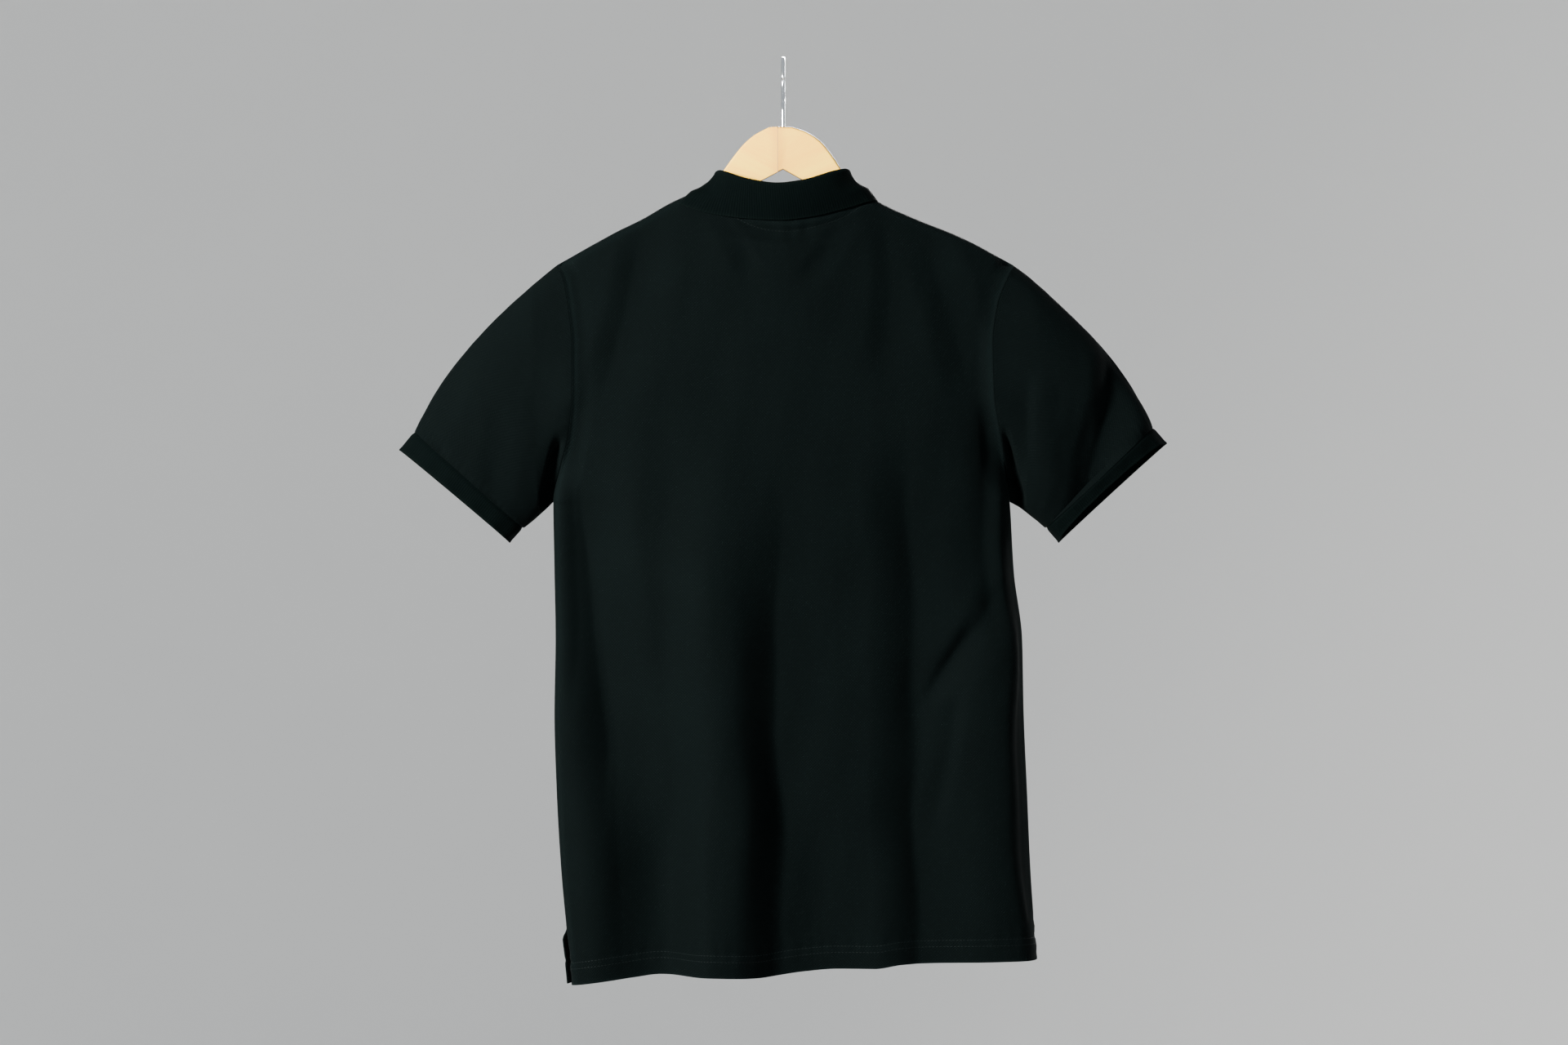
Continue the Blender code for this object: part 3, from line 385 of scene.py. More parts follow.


# %% [markdown]
# ## Creases
# Cloth held at the shoulders falls in long soft troughs, and each real crease has one steep side and one
# gentle side. We give them in a list, one row for each: where it starts and ends, how far it
# bows, how wide its two sides are, how deep it is, and how keenly its left side breaks at the bottom. A
# ridge is a crease of negative depth. The lines are then swayed a little, since no fold in knitted
# cotton runs straight.

# %% Lists of creases and how one is shaped
Crease = namedtuple("Crease", "x0 z0 x1 z1 bow left right depth keen", defaults=(0.0,))
BACK_CREASES = [
    Crease(-0.194, -0.320, -0.163, -0.740, 0.000, 0.036, 0.060, 0.0180, 0.7),
    Crease(-0.180, -0.420, -0.142, -0.880, 0.000, 0.042, 0.120, 0.0100, 0.8),
    Crease(-0.120, -0.420, -0.116, -1.150, 0.000, 0.050, 0.050, 0.0090),
    Crease(-0.118, -0.600, -0.094, -1.110, 0.000, 0.072, 0.044, 0.0180),
    Crease(-0.062, -0.290, -0.058, -1.150, 0.000, 0.048, 0.060, -0.0150),
    Crease(-0.006, -0.340, -0.005, -1.100, 0.002, 0.038, 0.190, 0.0098, 1.0),
    Crease(-0.010, -0.540, -0.009, -1.100, 0.000, 0.026, 0.070, 0.0052, 0.8),
    Crease(0.040, -0.640, 0.046, -1.060, 0.000, 0.050, 0.070, 0.0080),
    Crease(0.113, -0.320, 0.118, -0.660, 0.002, 0.042, 0.090, 0.0105, 1.0),
    Crease(0.124, -0.520, 0.122, -1.060, 0.002, 0.044, 0.130, 0.0150, 1.0),
    Crease(0.200, -0.400, 0.216, -1.050, 0.000, 0.090, 0.022, -0.0150),
    Crease(0.195, -0.300, 0.184, -0.540, -0.004, 0.036, 0.014, 0.0050, 1.0),
    Crease(0.206, -0.470, 0.134, -0.582, 0.000, 0.019, 0.032, 0.0052, 1.0),
    Crease(0.174, -0.508, 0.127, -0.596, 0.000, 0.010, 0.020, 0.0036, 1.0),
    Crease(0.162, -0.560, 0.142, -0.720, 0.000, 0.016, 0.012, 0.0026, 0.6),
    Crease(0.206, -0.400, 0.221, -0.860, 0.000, 0.012, 0.010, 0.0040, 0.5),
    Crease(-0.120, -0.140, -0.172, -0.320, 0.000, 0.022, 0.050, 0.0050, 0.6),
    Crease(0.120, -0.140, 0.184, -0.330, -0.003, 0.026, 0.034, 0.0045, 0.5),
    Crease(0.092, -0.120, 0.096, -0.300, 0.000, 0.020, 0.040, 0.0030, 0.5),
    Crease(-0.062, -0.132, -0.020, -0.205, 0.000, 0.016, 0.012, 0.0020),
    Crease(0.062, -0.130, 0.014, -0.212, 0.000, 0.014, 0.018, 0.0022),
    Crease(-0.060, -0.154, 0.060, -0.154, -0.008, 0.008, 0.022, 0.0030),
]
FRONT_CREASES = [
    Crease(-0.188, -0.400, -0.150, -0.830, 0.005, 0.024, 0.018, 0.0095),
    Crease(-0.104, -0.420, -0.106, -0.900, 0.000, 0.034, 0.030, -0.0060),
    Crease(-0.056, -0.440, -0.044, -0.930, 0.005, 0.014, 0.032, 0.0120),
    Crease(0.036, -0.420, 0.046, -0.900, 0.000, 0.036, 0.040, -0.0075),
    Crease(0.098, -0.400, 0.088, -0.920, -0.006, 0.012, 0.032, 0.0125),
    Crease(0.190, -0.410, 0.166, -0.780, -0.005, 0.020, 0.026, 0.0090),
    Crease(-0.206, -0.390, -0.146, -0.470, 0.003, 0.014, 0.020, 0.0055),
    Crease(0.203, -0.388, 0.140, -0.480, 0.003, 0.014, 0.020, 0.0050),
    Crease(-0.118, -0.180, -0.170, -0.330, 0.006, 0.026, 0.024, 0.0055),
    Crease(0.116, -0.180, 0.170, -0.320, 0.004, 0.026, 0.024, 0.0050),
    Crease(-0.030, -0.345, -0.072, -0.430, 0.004, 0.012, 0.018, 0.0045),
    Crease(0.026, -0.345, 0.070, -0.420, -0.004, 0.018, 0.012, 0.0040),
]
SLEEVE_BACK_CREASES = [
    Crease(0.313, -0.225, 0.257, -0.452, 0.006, 0.020, 0.032, 0.0130, 1.0),
    Crease(0.284, -0.300, 0.250, -0.452, 0.002, 0.026, 0.014, 0.0050),
    Crease(0.236, -0.280, 0.238, -0.390, 0.000, 0.012, 0.020, -0.0028),
    Crease(0.203, -0.335, 0.216, -0.425, 0.000, 0.014, 0.009, 0.0120),
    Crease(0.320, -0.290, 0.330, -0.360, 0.000, 0.014, 0.012, -0.0020),
    Crease(-0.207, -0.338, -0.220, -0.425, 0.000, 0.008, 0.011, 0.0120),
    Crease(-0.262, -0.300, -0.276, -0.430, 0.006, 0.018, 0.024, 0.0020),
    Crease(-0.330, -0.332, -0.306, -0.368, 0.000, 0.007, 0.009, 0.0026, 0.7),
    Crease(-0.288, -0.262, -0.318, -0.350, -0.004, 0.022, 0.022, 0.0025),
]
SLEEVE_FRONT_CREASES = [
    Crease(0.262, -0.240, 0.262, -0.430, 0.006, 0.020, 0.026, 0.0090),
    Crease(0.203, -0.335, 0.216, -0.425, 0.000, 0.014, 0.009, 0.0110),
    Crease(-0.207, -0.335, -0.220, -0.425, 0.000, 0.009, 0.014, 0.0110),
    Crease(-0.262, -0.250, -0.276, -0.430, 0.006, 0.026, 0.018, 0.0085),
]
CREASE_FADE, BOTTOM, KEEN_POWER = 0.30, 0.05, 1.7
LONG_SWAY, SHORT_SWAY, UP_SWAY = 0.0032, 0.0014, 0.0030


def crease_depth(creases, x, z):
    """Sum of the creases at (x, z): each fades across both its sides and towards its two ends."""
    sway_x = LONG_SWAY * np.sin(19 * z + 2.1 * np.sin(11 * x)) + SHORT_SWAY * np.sin(47 * z + 23 * x)
    x, z = x + sway_x, z + UP_SWAY * np.sin(27 * x)
    total = np.zeros(np.broadcast(x, z).shape)
    for crease in creases:
        run_x, run_z = crease.x1 - crease.x0, crease.z1 - crease.z0
        length = math.hypot(run_x, run_z)
        along = ((x - crease.x0) * run_x + (z - crease.z0) * run_z) / length**2
        bow = crease.bow * (1 - (2 * np.clip(along, 0, 1) - 1) ** 2)
        across = ((x - crease.x0) * run_z - (z - crease.z0) * run_x) / length + bow
        width = np.where(across > 0, crease.left, crease.right)
        reach = np.clip(np.abs(across) / width, 0, 1)
        keen = np.where(across * crease.keen > 0, abs(crease.keen), 0.0)
        edged = (1 - np.clip(np.sqrt(reach**2 + BOTTOM**2) - BOTTOM, 0, 1)) ** KEEN_POWER
        shape = lerp((1 - reach**2) ** 2, edged, keen)
        ends = smoothstep(0, CREASE_FADE, along) * smoothstep(0, CREASE_FADE, 1 - along)
        total = total + crease.depth * shape * ends
    return total


print("creases:", len(BACK_CREASES), "behind,", len(FRONT_CREASES), "in front")

# %% [markdown]
# ## Laying out a piece of cloth
# Each cut piece starts as a flat grid of quads with a UV map. Its points are then laid on the form, so
# that rows run from the top down and columns across. We press the relief into it, and give the sheet its
# thickness with a Solidify modifier. The UV map is set in metres of cloth, so a knit of so many stitches
# to the centimetre keeps its size on every piece. An attribute says where washing has paled the cloth.

# %% Tools that turn a grid of points into cloth
MERGE_WITHIN = 0.000005
CLOTH_SMOOTH_BELOW = math.radians(50)


def grid_normals(grid, wrap=False):
    """Unit normals of a grid of points, square to its rows and columns."""
    along = np.roll(grid, -1, axis=1) - np.roll(grid, 1, axis=1) if wrap else np.gradient(grid, axis=1)
    return unit(np.cross(along, np.gradient(grid, axis=0)))


def cloth_piece(name, grid, outward, uv, worn, wrap=False):
    """A flat grid of quads laid on those points, joined to a tube if asked, turned outwards and mapped."""
    if wrap:
        grid, outward, worn = (
            np.concatenate([values, values[:, :1]], axis=1) for values in (grid, outward, worn)
        )
    rows, columns = grid.shape[:2]
    bpy.ops.object.select_all(action="DESELECT")
    bpy.ops.mesh.primitive_grid_add(
        x_subdivisions=columns - 1, y_subdivisions=rows - 1, size=1, calc_uvs=True
    )
    piece = added(name)
    mesh = piece.data
    mesh.vertices.foreach_set("co", grid.reshape(-1, 3).astype(np.float32).ravel())
    corners = np.empty(len(mesh.loops), np.int32)
    mesh.loops.foreach_get("vertex_index", corners)
    mesh.uv_layers.active.data.foreach_set("uv", uv.reshape(-1, 2)[corners].astype(np.float32).ravel())
    paled = mesh.attributes.new("worn", "FLOAT", "POINT")
    paled.data.foreach_set("value", worn.astype(np.float32).ravel())
    mesh.update()
    facing = np.empty(len(mesh.polygons) * 3, np.float32)
    mesh.polygons.foreach_get("normal", facing)
    wanted = outward[:-1, :-1].reshape(-1, 3)
    pick(piece)
    bpy.ops.object.mode_set(mode="EDIT")
    bpy.ops.mesh.select_all(action="SELECT")
    if wrap:
        bpy.ops.mesh.remove_doubles(threshold=MERGE_WITHIN)
    if (facing.reshape(-1, 3) * wanted).sum() < 0:
        bpy.ops.mesh.flip_normals()
    bpy.ops.object.mode_set(mode="OBJECT")
    return piece


def thicken(piece, wall, offset=-1.0):
    """Gives a sheet its wall and smooth shading: all of the wall inside it, or half on each side for 0."""
    pick(piece)
    solid = piece.modifiers.new("thickness", "SOLIDIFY")
    solid.thickness = wall
    solid.offset = offset
    bpy.ops.object.modifier_apply(modifier=solid.name)
    bpy.ops.object.shade_smooth_by_angle(angle=CLOTH_SMOOTH_BELOW)
    return piece


def run_along(path):
    """How far each point of a path is from its first, measured along it."""
    return np.concatenate([[0], np.cumsum(np.linalg.norm(np.diff(path, axis=0), axis=-1))])


def place_at(lines, distance):
    """Where each line has gone that distance from its start, as a fractional index."""
    return np.array([np.interp(distance, run_along(line), np.arange(len(line))) for line in lines])


def read_at(lines, at):
    """Values of each line at its fractional index."""
    low = np.clip(np.floor(at).astype(int), 0, lines.shape[1] - 2)
    share = (at - low)[:, None]
    rows = np.arange(len(lines))
    return lerp(lines[rows, low], lines[rows, low + 1], share)


# %% [markdown]
# ## Back and front panels
# On the real shirt these are two flat cuts of piqué. Their upper edge is the shoulder seam and the neck,
# their sides are the armhole and the side seam, and they part again at the vents. We lay columns closer
# together at the sides, where the cloth turns away fastest, and rows closer at the shoulders.

# %% Rows and columns of the two panels
SHOULDER_COLUMNS, NECK_COLUMNS, SHOULDER_CROWDING = 56, 80, 1.6
UPPER_ROWS, LOWER_ROWS, HEM_ROWS = 100, 130, 8
PEEK_BLEND, PEEK_SHARE = 0.012, 0.05


def panel_columns():
    """Where the columns lie across a panel, -1 at the left edge and 1 at the right."""
    half = (side_x(RIGHT, SHOULDER_Z) - side_x(LEFT, SHOULDER_Z)) / 2
    middle = (side_x(RIGHT, SHOULDER_Z) + side_x(LEFT, SHOULDER_Z)) / 2
    neck_left, neck_right = (NECK_LEFT_X - middle) / half, (NECK_RIGHT_X - middle) / half
    spread = np.linspace(0, 1, SHOULDER_COLUMNS + 1) ** SHOULDER_CROWDING
    between = np.linspace(neck_left, neck_right, NECK_COLUMNS + 1)[1:-1]
    return np.concatenate([lerp(-1.0, neck_left, spread), between, lerp(1.0, neck_right, spread)[::-1]])


def panel_grid(side):
    """Rows from the shoulders down to the hem, columns from left to right, on the plain form."""
    share = (panel_columns() + 1) / 2
    top_x = lerp(side_x(LEFT, SHOULDER_Z), side_x(RIGHT, SHOULDER_Z), share)
    bottom_x = lerp(HEM[0].x, HEM[-1].x, share)
    rows = []
    for turn in np.linspace(0, math.pi, UPPER_ROWS + 1):
        down = (1 - math.cos(turn)) / 2
        z = lerp(top_z(side, top_x), ARMPIT_Z, down)
        seam_z = lerp(SHOULDER_Z, ARMPIT_Z, down)
        x = lerp(side_x(LEFT, seam_z), side_x(RIGHT, seam_z), share)
        rows.append(on_panel(side, x, z))
    hem_share = HEM_HEIGHT / (ARMPIT_Z - hem_z(0.0))
    lower = np.linspace(0, 1 - hem_share, LOWER_ROWS + 1)[1:]
    for down in [*lower, *np.linspace(1 - hem_share, 1, HEM_ROWS + 1)[1:]]:
        z = lerp(ARMPIT_Z, hem_z(bottom_x), down)
        x = lerp(side_x(LEFT, z[0]), side_x(RIGHT, z[-1]), share)
        rows.append(on_panel(side, x, z))
    grid = np.array(rows)
    if side == FRONT:
        in_vent = smoothstep(0, PEEK_BLEND, hem_z(0.0) + VENT_HEIGHT - grid[..., 2])
        grid[..., 0] -= VENT_PEEK * in_vent * smoothstep(PEEK_SHARE, 0, share)
    return grid


print("panel:", len(panel_columns()), "columns,", UPPER_ROWS + LOWER_ROWS + HEM_ROWS + 1, "rows")

# %% [markdown]
# The relief is what a flat cut gains by being sewn, washed and hung: the creases, a slight dip along
# every seam where the allowance inside pulls on it, a thicker band below the hem stitches, small puckers
# beside the stitches, and a faint unevenness all over. It fades out at the seams, so that neighbours
# still meet.

# %% Relief of a panel
TAPE_ROW = [
    Along(-0.062, -0.1340),
    Along(-0.040, -0.1465),
    Along(-0.018, -0.1545),
    Along(0.003, -0.1570),
    Along(0.028, -0.1530),
    Along(0.053, -0.1450),
    Along(0.072, -0.1340),
]
TAPE_FADE = (-0.045, 0.055)
SEAM_DIP, SEAM_PLACE, SEAM_REACH = 0.00045, 0.0028, 0.0024
TAPE_DIP, TAPE_REACH = 0.0013, 0.0034
HEM_DIP, HEM_DIP_REACH, HEM_PROUD = 0.0005, 0.0022, 0.0006
CREASE_FREE, SHOULDER_FREE, SEAM_CLOSED = 0.014, 0.012, 0.0025
UNEVEN_DEPTH, UNEVEN_PITCH = 0.0012, 0.060
FINE_DEPTH, FINE_PITCH = 0.00015, 0.019
RIPPLE_WAVES = 11
Puckers = namedtuple("Puckers", "height spacing reach seed")
SEAM_PUCKERS = Puckers(0.00035, 0.013, 0.006, 1.0)
HEM_PUCKERS = Puckers(0.00025, 0.012, 0.009, 2.0)
TAPE_PUCKERS = Puckers(0.0003, 0.019, 0.010, 5.0)
PUCKERS_PLACE = 0.004


def ripple(x, z, wavelength, seed):
    """Soft upright unevenness between -1 and 1, the same each time for one seed."""
    draw = np.random.default_rng(seed)
    total = np.zeros(np.broadcast(x, z).shape)
    for _ in range(RIPPLE_WAVES):
        turn, phase, stretch = (draw.uniform(*ends) for ends in ((-0.4, 0.4), (0, 2 * math.pi), (0.4, 1.6)))
        across = x * math.cos(turn) + z * math.sin(turn)
        total += np.sin(2 * math.pi * across * stretch / wavelength + phase)
    return total / RIPPLE_WAVES


def bell(distance, reach):
    """1 on a line, falling away smoothly on both sides of it."""
    return np.exp(-((distance / reach) ** 2))


def puckers(along, distance, kind):
    """Small gathers beside a line of stitches, made uneven by a slower wave that shifts them."""
    turn = 2 * math.pi * along / kind.spacing
    uneven = np.sin(turn + 1.3 * np.sin(turn / 3.7 + kind.seed))
    return kind.height * uneven * bell(distance, kind.reach)


def tape_z(x):
    return curve(column(TAPE_ROW, "x"), column(TAPE_ROW, "z"), x)


def panel_relief(side, x, z):
    """How far a panel is pressed in from its plain form at (x, z)."""
    creases = BACK_CREASES if side == BACK else FRONT_CREASES
    from_side = np.minimum(x - side_x(LEFT, z), side_x(RIGHT, z) - x)
    from_shoulder = np.maximum(top_z(side, x) - z, 0.0)
    from_hem = z - hem_z(x)
    in_vent = 1 - smoothstep(VENT_HEIGHT - 0.006, VENT_HEIGHT + 0.010, from_hem)
    free = np.maximum(smoothstep(0, CREASE_FREE, from_side), in_vent)
    free = free * smoothstep(0, SHOULDER_FREE, from_shoulder)
    depth = crease_depth(creases, x, z) * free
    uneven = UNEVEN_DEPTH * ripple(x, z, UNEVEN_PITCH, 3 + side)
    uneven = uneven + FINE_DEPTH * ripple(x, z, FINE_PITCH, 8 + side)
    depth = depth + uneven * free
    seam = bell(from_side - SEAM_PLACE, SEAM_REACH) * (1 - in_vent)
    seam = seam + bell(from_shoulder - SEAM_PLACE, SEAM_REACH)
    depth = depth + SEAM_DIP * np.minimum(seam, 1.0)
    depth = depth + puckers(z, from_side - PUCKERS_PLACE, SEAM_PUCKERS) * free
    depth = depth - HEM_PROUD * (1 - smoothstep(HEM_HEIGHT - 0.002, HEM_HEIGHT + 0.001, from_hem))
    depth = depth + HEM_DIP * bell(from_hem - HEM_HEIGHT, HEM_DIP_REACH)
    depth = depth + puckers(x, from_hem - HEM_HEIGHT, HEM_PUCKERS) * free
    if side == BACK:
        from_tape = tape_z(x) - z
        along_tape = smoothstep(TAPE_ROW[0].x, TAPE_FADE[0], x) * smoothstep(TAPE_ROW[-1].x, TAPE_FADE[1], x)
        depth = depth + TAPE_DIP * bell(from_tape, TAPE_REACH) * along_tape
        depth = depth + puckers(x, from_tape, TAPE_PUCKERS) * along_tape
    at_side = np.maximum(smoothstep(0, SEAM_CLOSED, from_side), in_vent)
    return depth * np.minimum(smoothstep(0, SEAM_CLOSED, from_shoulder), at_side)


Wear = namedtuple("Wear", "strength place reach")
HEM_WEAR, SEAM_WEAR, SHOULDER_WEAR = Wear(0.8, 0, 0.0016), Wear(0.5, 0.0035, 0.0025), Wear(0.4, 0.004, 0.004)


def rubbed(distance, wear):
    """How pale washing has made the knit at that distance from an edge or a seam."""
    return wear.strength * bell(distance - wear.place, wear.reach)


def panel_worn(side, grid):
    """Where washing has paled a panel: at the hem's edge, the side seams and the shoulders."""
    x, z = grid[..., 0], grid[..., 2]
    from_side = np.minimum(x - side_x(LEFT, z), side_x(RIGHT, z) - x)
    edges = rubbed(z - hem_z(x), HEM_WEAR) + rubbed(from_side, SEAM_WEAR)
    return np.clip(edges + rubbed(top_z(side, x) - z, SHOULDER_WEAR), 0, 1)


def panel_uv(side, grid):
    """Metres of cloth across from the middle line, and down from the shoulders."""
    x, z = grid[..., 0], grid[..., 2]
    samples = np.linspace(0, 1, 17)
    points = np.stack([stand_off(side, x * share, z) for share in samples])
    steps = np.hypot(np.diff(points, axis=0), x / (len(samples) - 1))
    return np.stack([np.sign(x) * steps.sum(axis=0), z], axis=-1)


LEVEL_BELOW = (0.060, 0.020)


def pressed_in(side, plain, outward):
    """The panel, pressed in square to it at the shoulders and level below, so that its rows never cross."""
    x, z = plain[..., 0], plain[..., 2]
    level = side * unit(np.cross(np.gradient(plain, axis=1), (0, 0, -1)))
    at_shoulder = smoothstep(*LEVEL_BELOW, top_z(side, x) - z)[..., None]
    return plain - panel_relief(side, x, z)[..., None] * (level + (outward - level) * at_shoulder)


back_plain, front_plain = panel_grid(BACK), panel_grid(FRONT)
back_out, front_out = BACK * grid_normals(back_plain), FRONT * grid_normals(front_plain)
back, front = pressed_in(BACK, back_plain, back_out), pressed_in(FRONT, front_plain, front_out)
print("back panel stands off by up to", round(-1000 * back[..., 1].min(), 1), "mm")

# %% [markdown]
# The front is slit from the neck for the opening. We take those faces out of the flat grid, before the
# cloth gets its thickness, and keep their rows and columns for the strip that lies behind the buttons.

# %% Make the two panels
NOTCH_COLUMNS = 7
placket_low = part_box("placket_under")[0].z
middle_column = front.shape[1] // 2
notch_columns = slice(middle_column - NOTCH_COLUMNS, middle_column + NOTCH_COLUMNS + 1)
NOTCH_ROWS = int(np.argmin(np.abs(front[:, middle_column, 2] - placket_low)))


def cut_out(piece, grid_columns, rows, columns):
    """Deletes a block of a flat grid's faces, found by their numbers."""
    pick(piece)
    bpy.ops.object.mode_set(mode="EDIT")
    bpy.ops.mesh.select_all(action="DESELECT")
    bpy.ops.mesh.select_mode(type="FACE")
    bpy.ops.object.mode_set(mode="OBJECT")
    for row in range(rows):
        for place in range(columns.start, columns.stop - 1):
            piece.data.polygons[row * (grid_columns - 1) + place].select = True
    bpy.ops.object.mode_set(mode="EDIT")
    bpy.ops.mesh.delete(type="FACE")
    bpy.ops.object.mode_set(mode="OBJECT")


def panel_piece(name, side, grid, outward):
    return cloth_piece(name, grid, outward, panel_uv(side, grid), panel_worn(side, grid))


back_panel = thicken(panel_piece("back_panel_cloth", BACK, back, back_out), WALL)
front_panel = panel_piece("front_panel_cloth", FRONT, front, front_out)
cut_out(front_panel, front.shape[1], NOTCH_ROWS, notch_columns)
thicken(front_panel, WALL)
print("panels:", len(back_panel.data.polygons), "and", len(front_panel.data.polygons), "faces")

# %% [markdown]
# ## Sleeves
# A short sleeve is one flat cut, sewn to a tube along the underarm. We loft it: each ring is a flattened
# loop set by its top point, its bottom point and its depth, and the rings change smoothly from the
# armhole to the cuff. The first ring is the armhole itself, taken from the edges of the two panels, so
# that the seam closes exactly.

# %% Lists and rings of the sleeves
Section = namedtuple("Section", "top_x top_z bottom_x bottom_z depth")
LEFT_SLEEVE = [
    Section(-0.2085, -0.1880, -0.2110, -0.4050, 0.030),
    Section(-0.2220, -0.1990, -0.2195, -0.4130, 0.031),
    Section(-0.2360, -0.2110, -0.2250, -0.4180, 0.032),
    Section(-0.2620, -0.2350, -0.2290, -0.4215, 0.032),
    Section(-0.2900, -0.2650, -0.2320, -0.4240, 0.031),
    Section(-0.3160, -0.2990, -0.2350, -0.4265, 0.029),
    Section(-0.3390, -0.3400, -0.2385, -0.4290, 0.027),
]
RIGHT_SLEEVE = [
    Section(0.2120, -0.1880, 0.2080, -0.4050, 0.030),
    Section(0.2260, -0.1985, 0.2170, -0.4100, 0.031),
    Section(0.2410, -0.2115, 0.2230, -0.4145, 0.032),
    Section(0.2680, -0.2370, 0.2280, -0.4185, 0.033),
    Section(0.2920, -0.2615, 0.2325, -0.4220, 0.033),
    Section(0.3160, -0.2930, 0.2365, -0.4255, 0.031),
    Section(0.3400, -0.3360, 0.2410, -0.4290, 0.028),
]
LEFT_CUFF_EDGE = Section(-0.3520, -0.3580, -0.2520, -0.4420, 0.025)
RIGHT_CUFF_EDGE = Section(0.3520, -0.3520, 0.2540, -0.4420, 0.025)
LEFT_CUFF_BOW, RIGHT_CUFF_BOW = 0.003, 0.008
SLEEVE_FULLNESS = 0.85
SLEEVE_ROWS, CUFF_ROWS, SLEEVE_CROWDING = 62, 16, 1.15
SLEEVE_LENGTH, SLEEVE_RADIUS, ARMHOLE_EASE = 0.15, 0.10, 0.30
SLEEVE_FREE, CUFF_FREE = 0.012, 0.003
SLEEVE_UNEVEN, SLEEVE_PITCH, SLEEVE_FINE = 0.0006, 0.070, 0.0002
CUFF_SEAM_DIP, CUFF_SEAM_REACH = 0.0007, 0.0030
ARMHOLE_PUCKERS = Puckers(0.00035, 0.012, 0.007, 3.0)
CUFF_PUCKERS = Puckers(0.0004, 0.010, 0.008, 4.0)
ring_turns = np.linspace(0, 2 * math.pi, 2 * UPPER_ROWS + 1)[:-1]


def between(sections, share):
    """The section that far along the sleeve, from 0 at the armhole to 1 at the cuff seam."""
    knots = np.linspace(0, 1, len(sections))
    return Section(*(float(curve(knots, column(sections, field), share)) for field in Section._fields))


def ring(section):
    """One loop of a sleeve: from its top round the back to its bottom and up the front."""
    cosine, sine = np.cos(ring_turns), np.sin(ring_turns)
    fullness = np.sign(sine) * np.abs(sine) ** SLEEVE_FULLNESS
    x = (section.top_x + section.bottom_x) / 2 + (section.top_x - section.bottom_x) / 2 * cosine
    z = (section.top_z + section.bottom_z) / 2 + (section.top_z - section.bottom_z) / 2 * cosine
    return np.stack([x, -section.depth * fullness, z], axis=-1)


def armhole_ring(edge):
    """The armhole in the order of a ring, from the side edges of the two panels."""
    down = back[: UPPER_ROWS + 1, edge].copy()
    down[[0, -1], 1] = 0.0
    return np.concatenate([down, front[1:UPPER_ROWS, edge][::-1]])


def sleeve_grid(edge, sections):
    """Loops from the armhole to the cuff seam, pressed in by the sleeve's creases."""
    armhole = armhole_ring(edge)
    shares = np.linspace(0, 1, SLEEVE_ROWS + 1) ** SLEEVE_CROWDING
    correction = armhole - ring(sections[0])
    eased = 1 - smoothstep(0, ARMHOLE_EASE, shares)
    rings = [ring(between(sections, share)) for share in shares]
    plain = np.array([loop + correction * part for loop, part in zip(rings, eased)])
    side = RIGHT if sections[0].top_x > 0 else LEFT
    outward = side * grid_normals(plain, wrap=True)
    x, z = plain[..., 0], plain[..., 2]
    sine = np.sin(ring_turns)[None, :]
    creased = crease_depth(SLEEVE_BACK_CREASES, x, z) * np.maximum(sine, 0) ** 0.5
    creased = creased + crease_depth(SLEEVE_FRONT_CREASES, x, z) * np.maximum(-sine, 0) ** 0.5
    length = SLEEVE_LENGTH * shares[:, None]
    to_cuff = SLEEVE_LENGTH - length
    free = smoothstep(0, SLEEVE_FREE, length) * smoothstep(0, CUFF_FREE, to_cuff)
    slanted = x + plain[..., 1]
    depth = creased * free + SLEEVE_UNEVEN * ripple(slanted, z, SLEEVE_PITCH, 21 + side) * free
    depth = depth + SLEEVE_FINE * ripple(slanted, z, FINE_PITCH, 24 + side) * free
    depth = depth + CUFF_SEAM_DIP * bell(to_cuff, CUFF_SEAM_REACH)
    around = SLEEVE_RADIUS * ring_turns[None, :]
    depth = depth + puckers(around, length - PUCKERS_PLACE, ARMHOLE_PUCKERS) * free
    depth = depth + puckers(around, to_cuff, CUFF_PUCKERS) * free
    made = plain - depth[..., None] * outward
    made[0] = armhole + SEAM_GAP * unit(made[2] - armhole)
    return made, side * grid_normals(made, wrap=True)


def tube_uv(grid):
    """Metres of cloth round a tube from its top, and along it from its first ring."""
    closed = np.concatenate([grid, grid[:, :1]], axis=1)
    run = np.linalg.norm(np.diff(closed, axis=1), axis=-1)
    run = np.concatenate([np.zeros((len(grid), 1)), np.cumsum(run, axis=1)], axis=1)
    down = np.linalg.norm(np.diff(closed, axis=0), axis=-1).mean(axis=1)
    down = np.concatenate([[0.0], np.cumsum(down)])
    return np.stack([run, np.broadcast_to(-down[:, None], run.shape)], axis=-1)


left_sleeve_grid, left_sleeve_out = sleeve_grid(0, LEFT_SLEEVE)
right_sleeve_grid, right_sleeve_out = sleeve_grid(-1, RIGHT_SLEEVE)
mouths = [grid[-1, 0] - grid[-1, UPPER_ROWS] for grid in (left_sleeve_grid, right_sleeve_grid)]
print("sleeve mouths:", [round(1000 * np.linalg.norm(across)) for across in mouths], "mm across")

# %% [markdown]
# Each sleeve is a grid joined along its underarm, then thickened inwards like the panels. Its map counts
# metres of cloth round the tube and along it, so the knit isn't stretched where the sleeve narrows.

# %% Make the sleeves
def make_tube(name, grid, outward, wall, worn):
    return thicken(cloth_piece(name, grid, outward, tube_uv(grid), worn, wrap=True), wall)


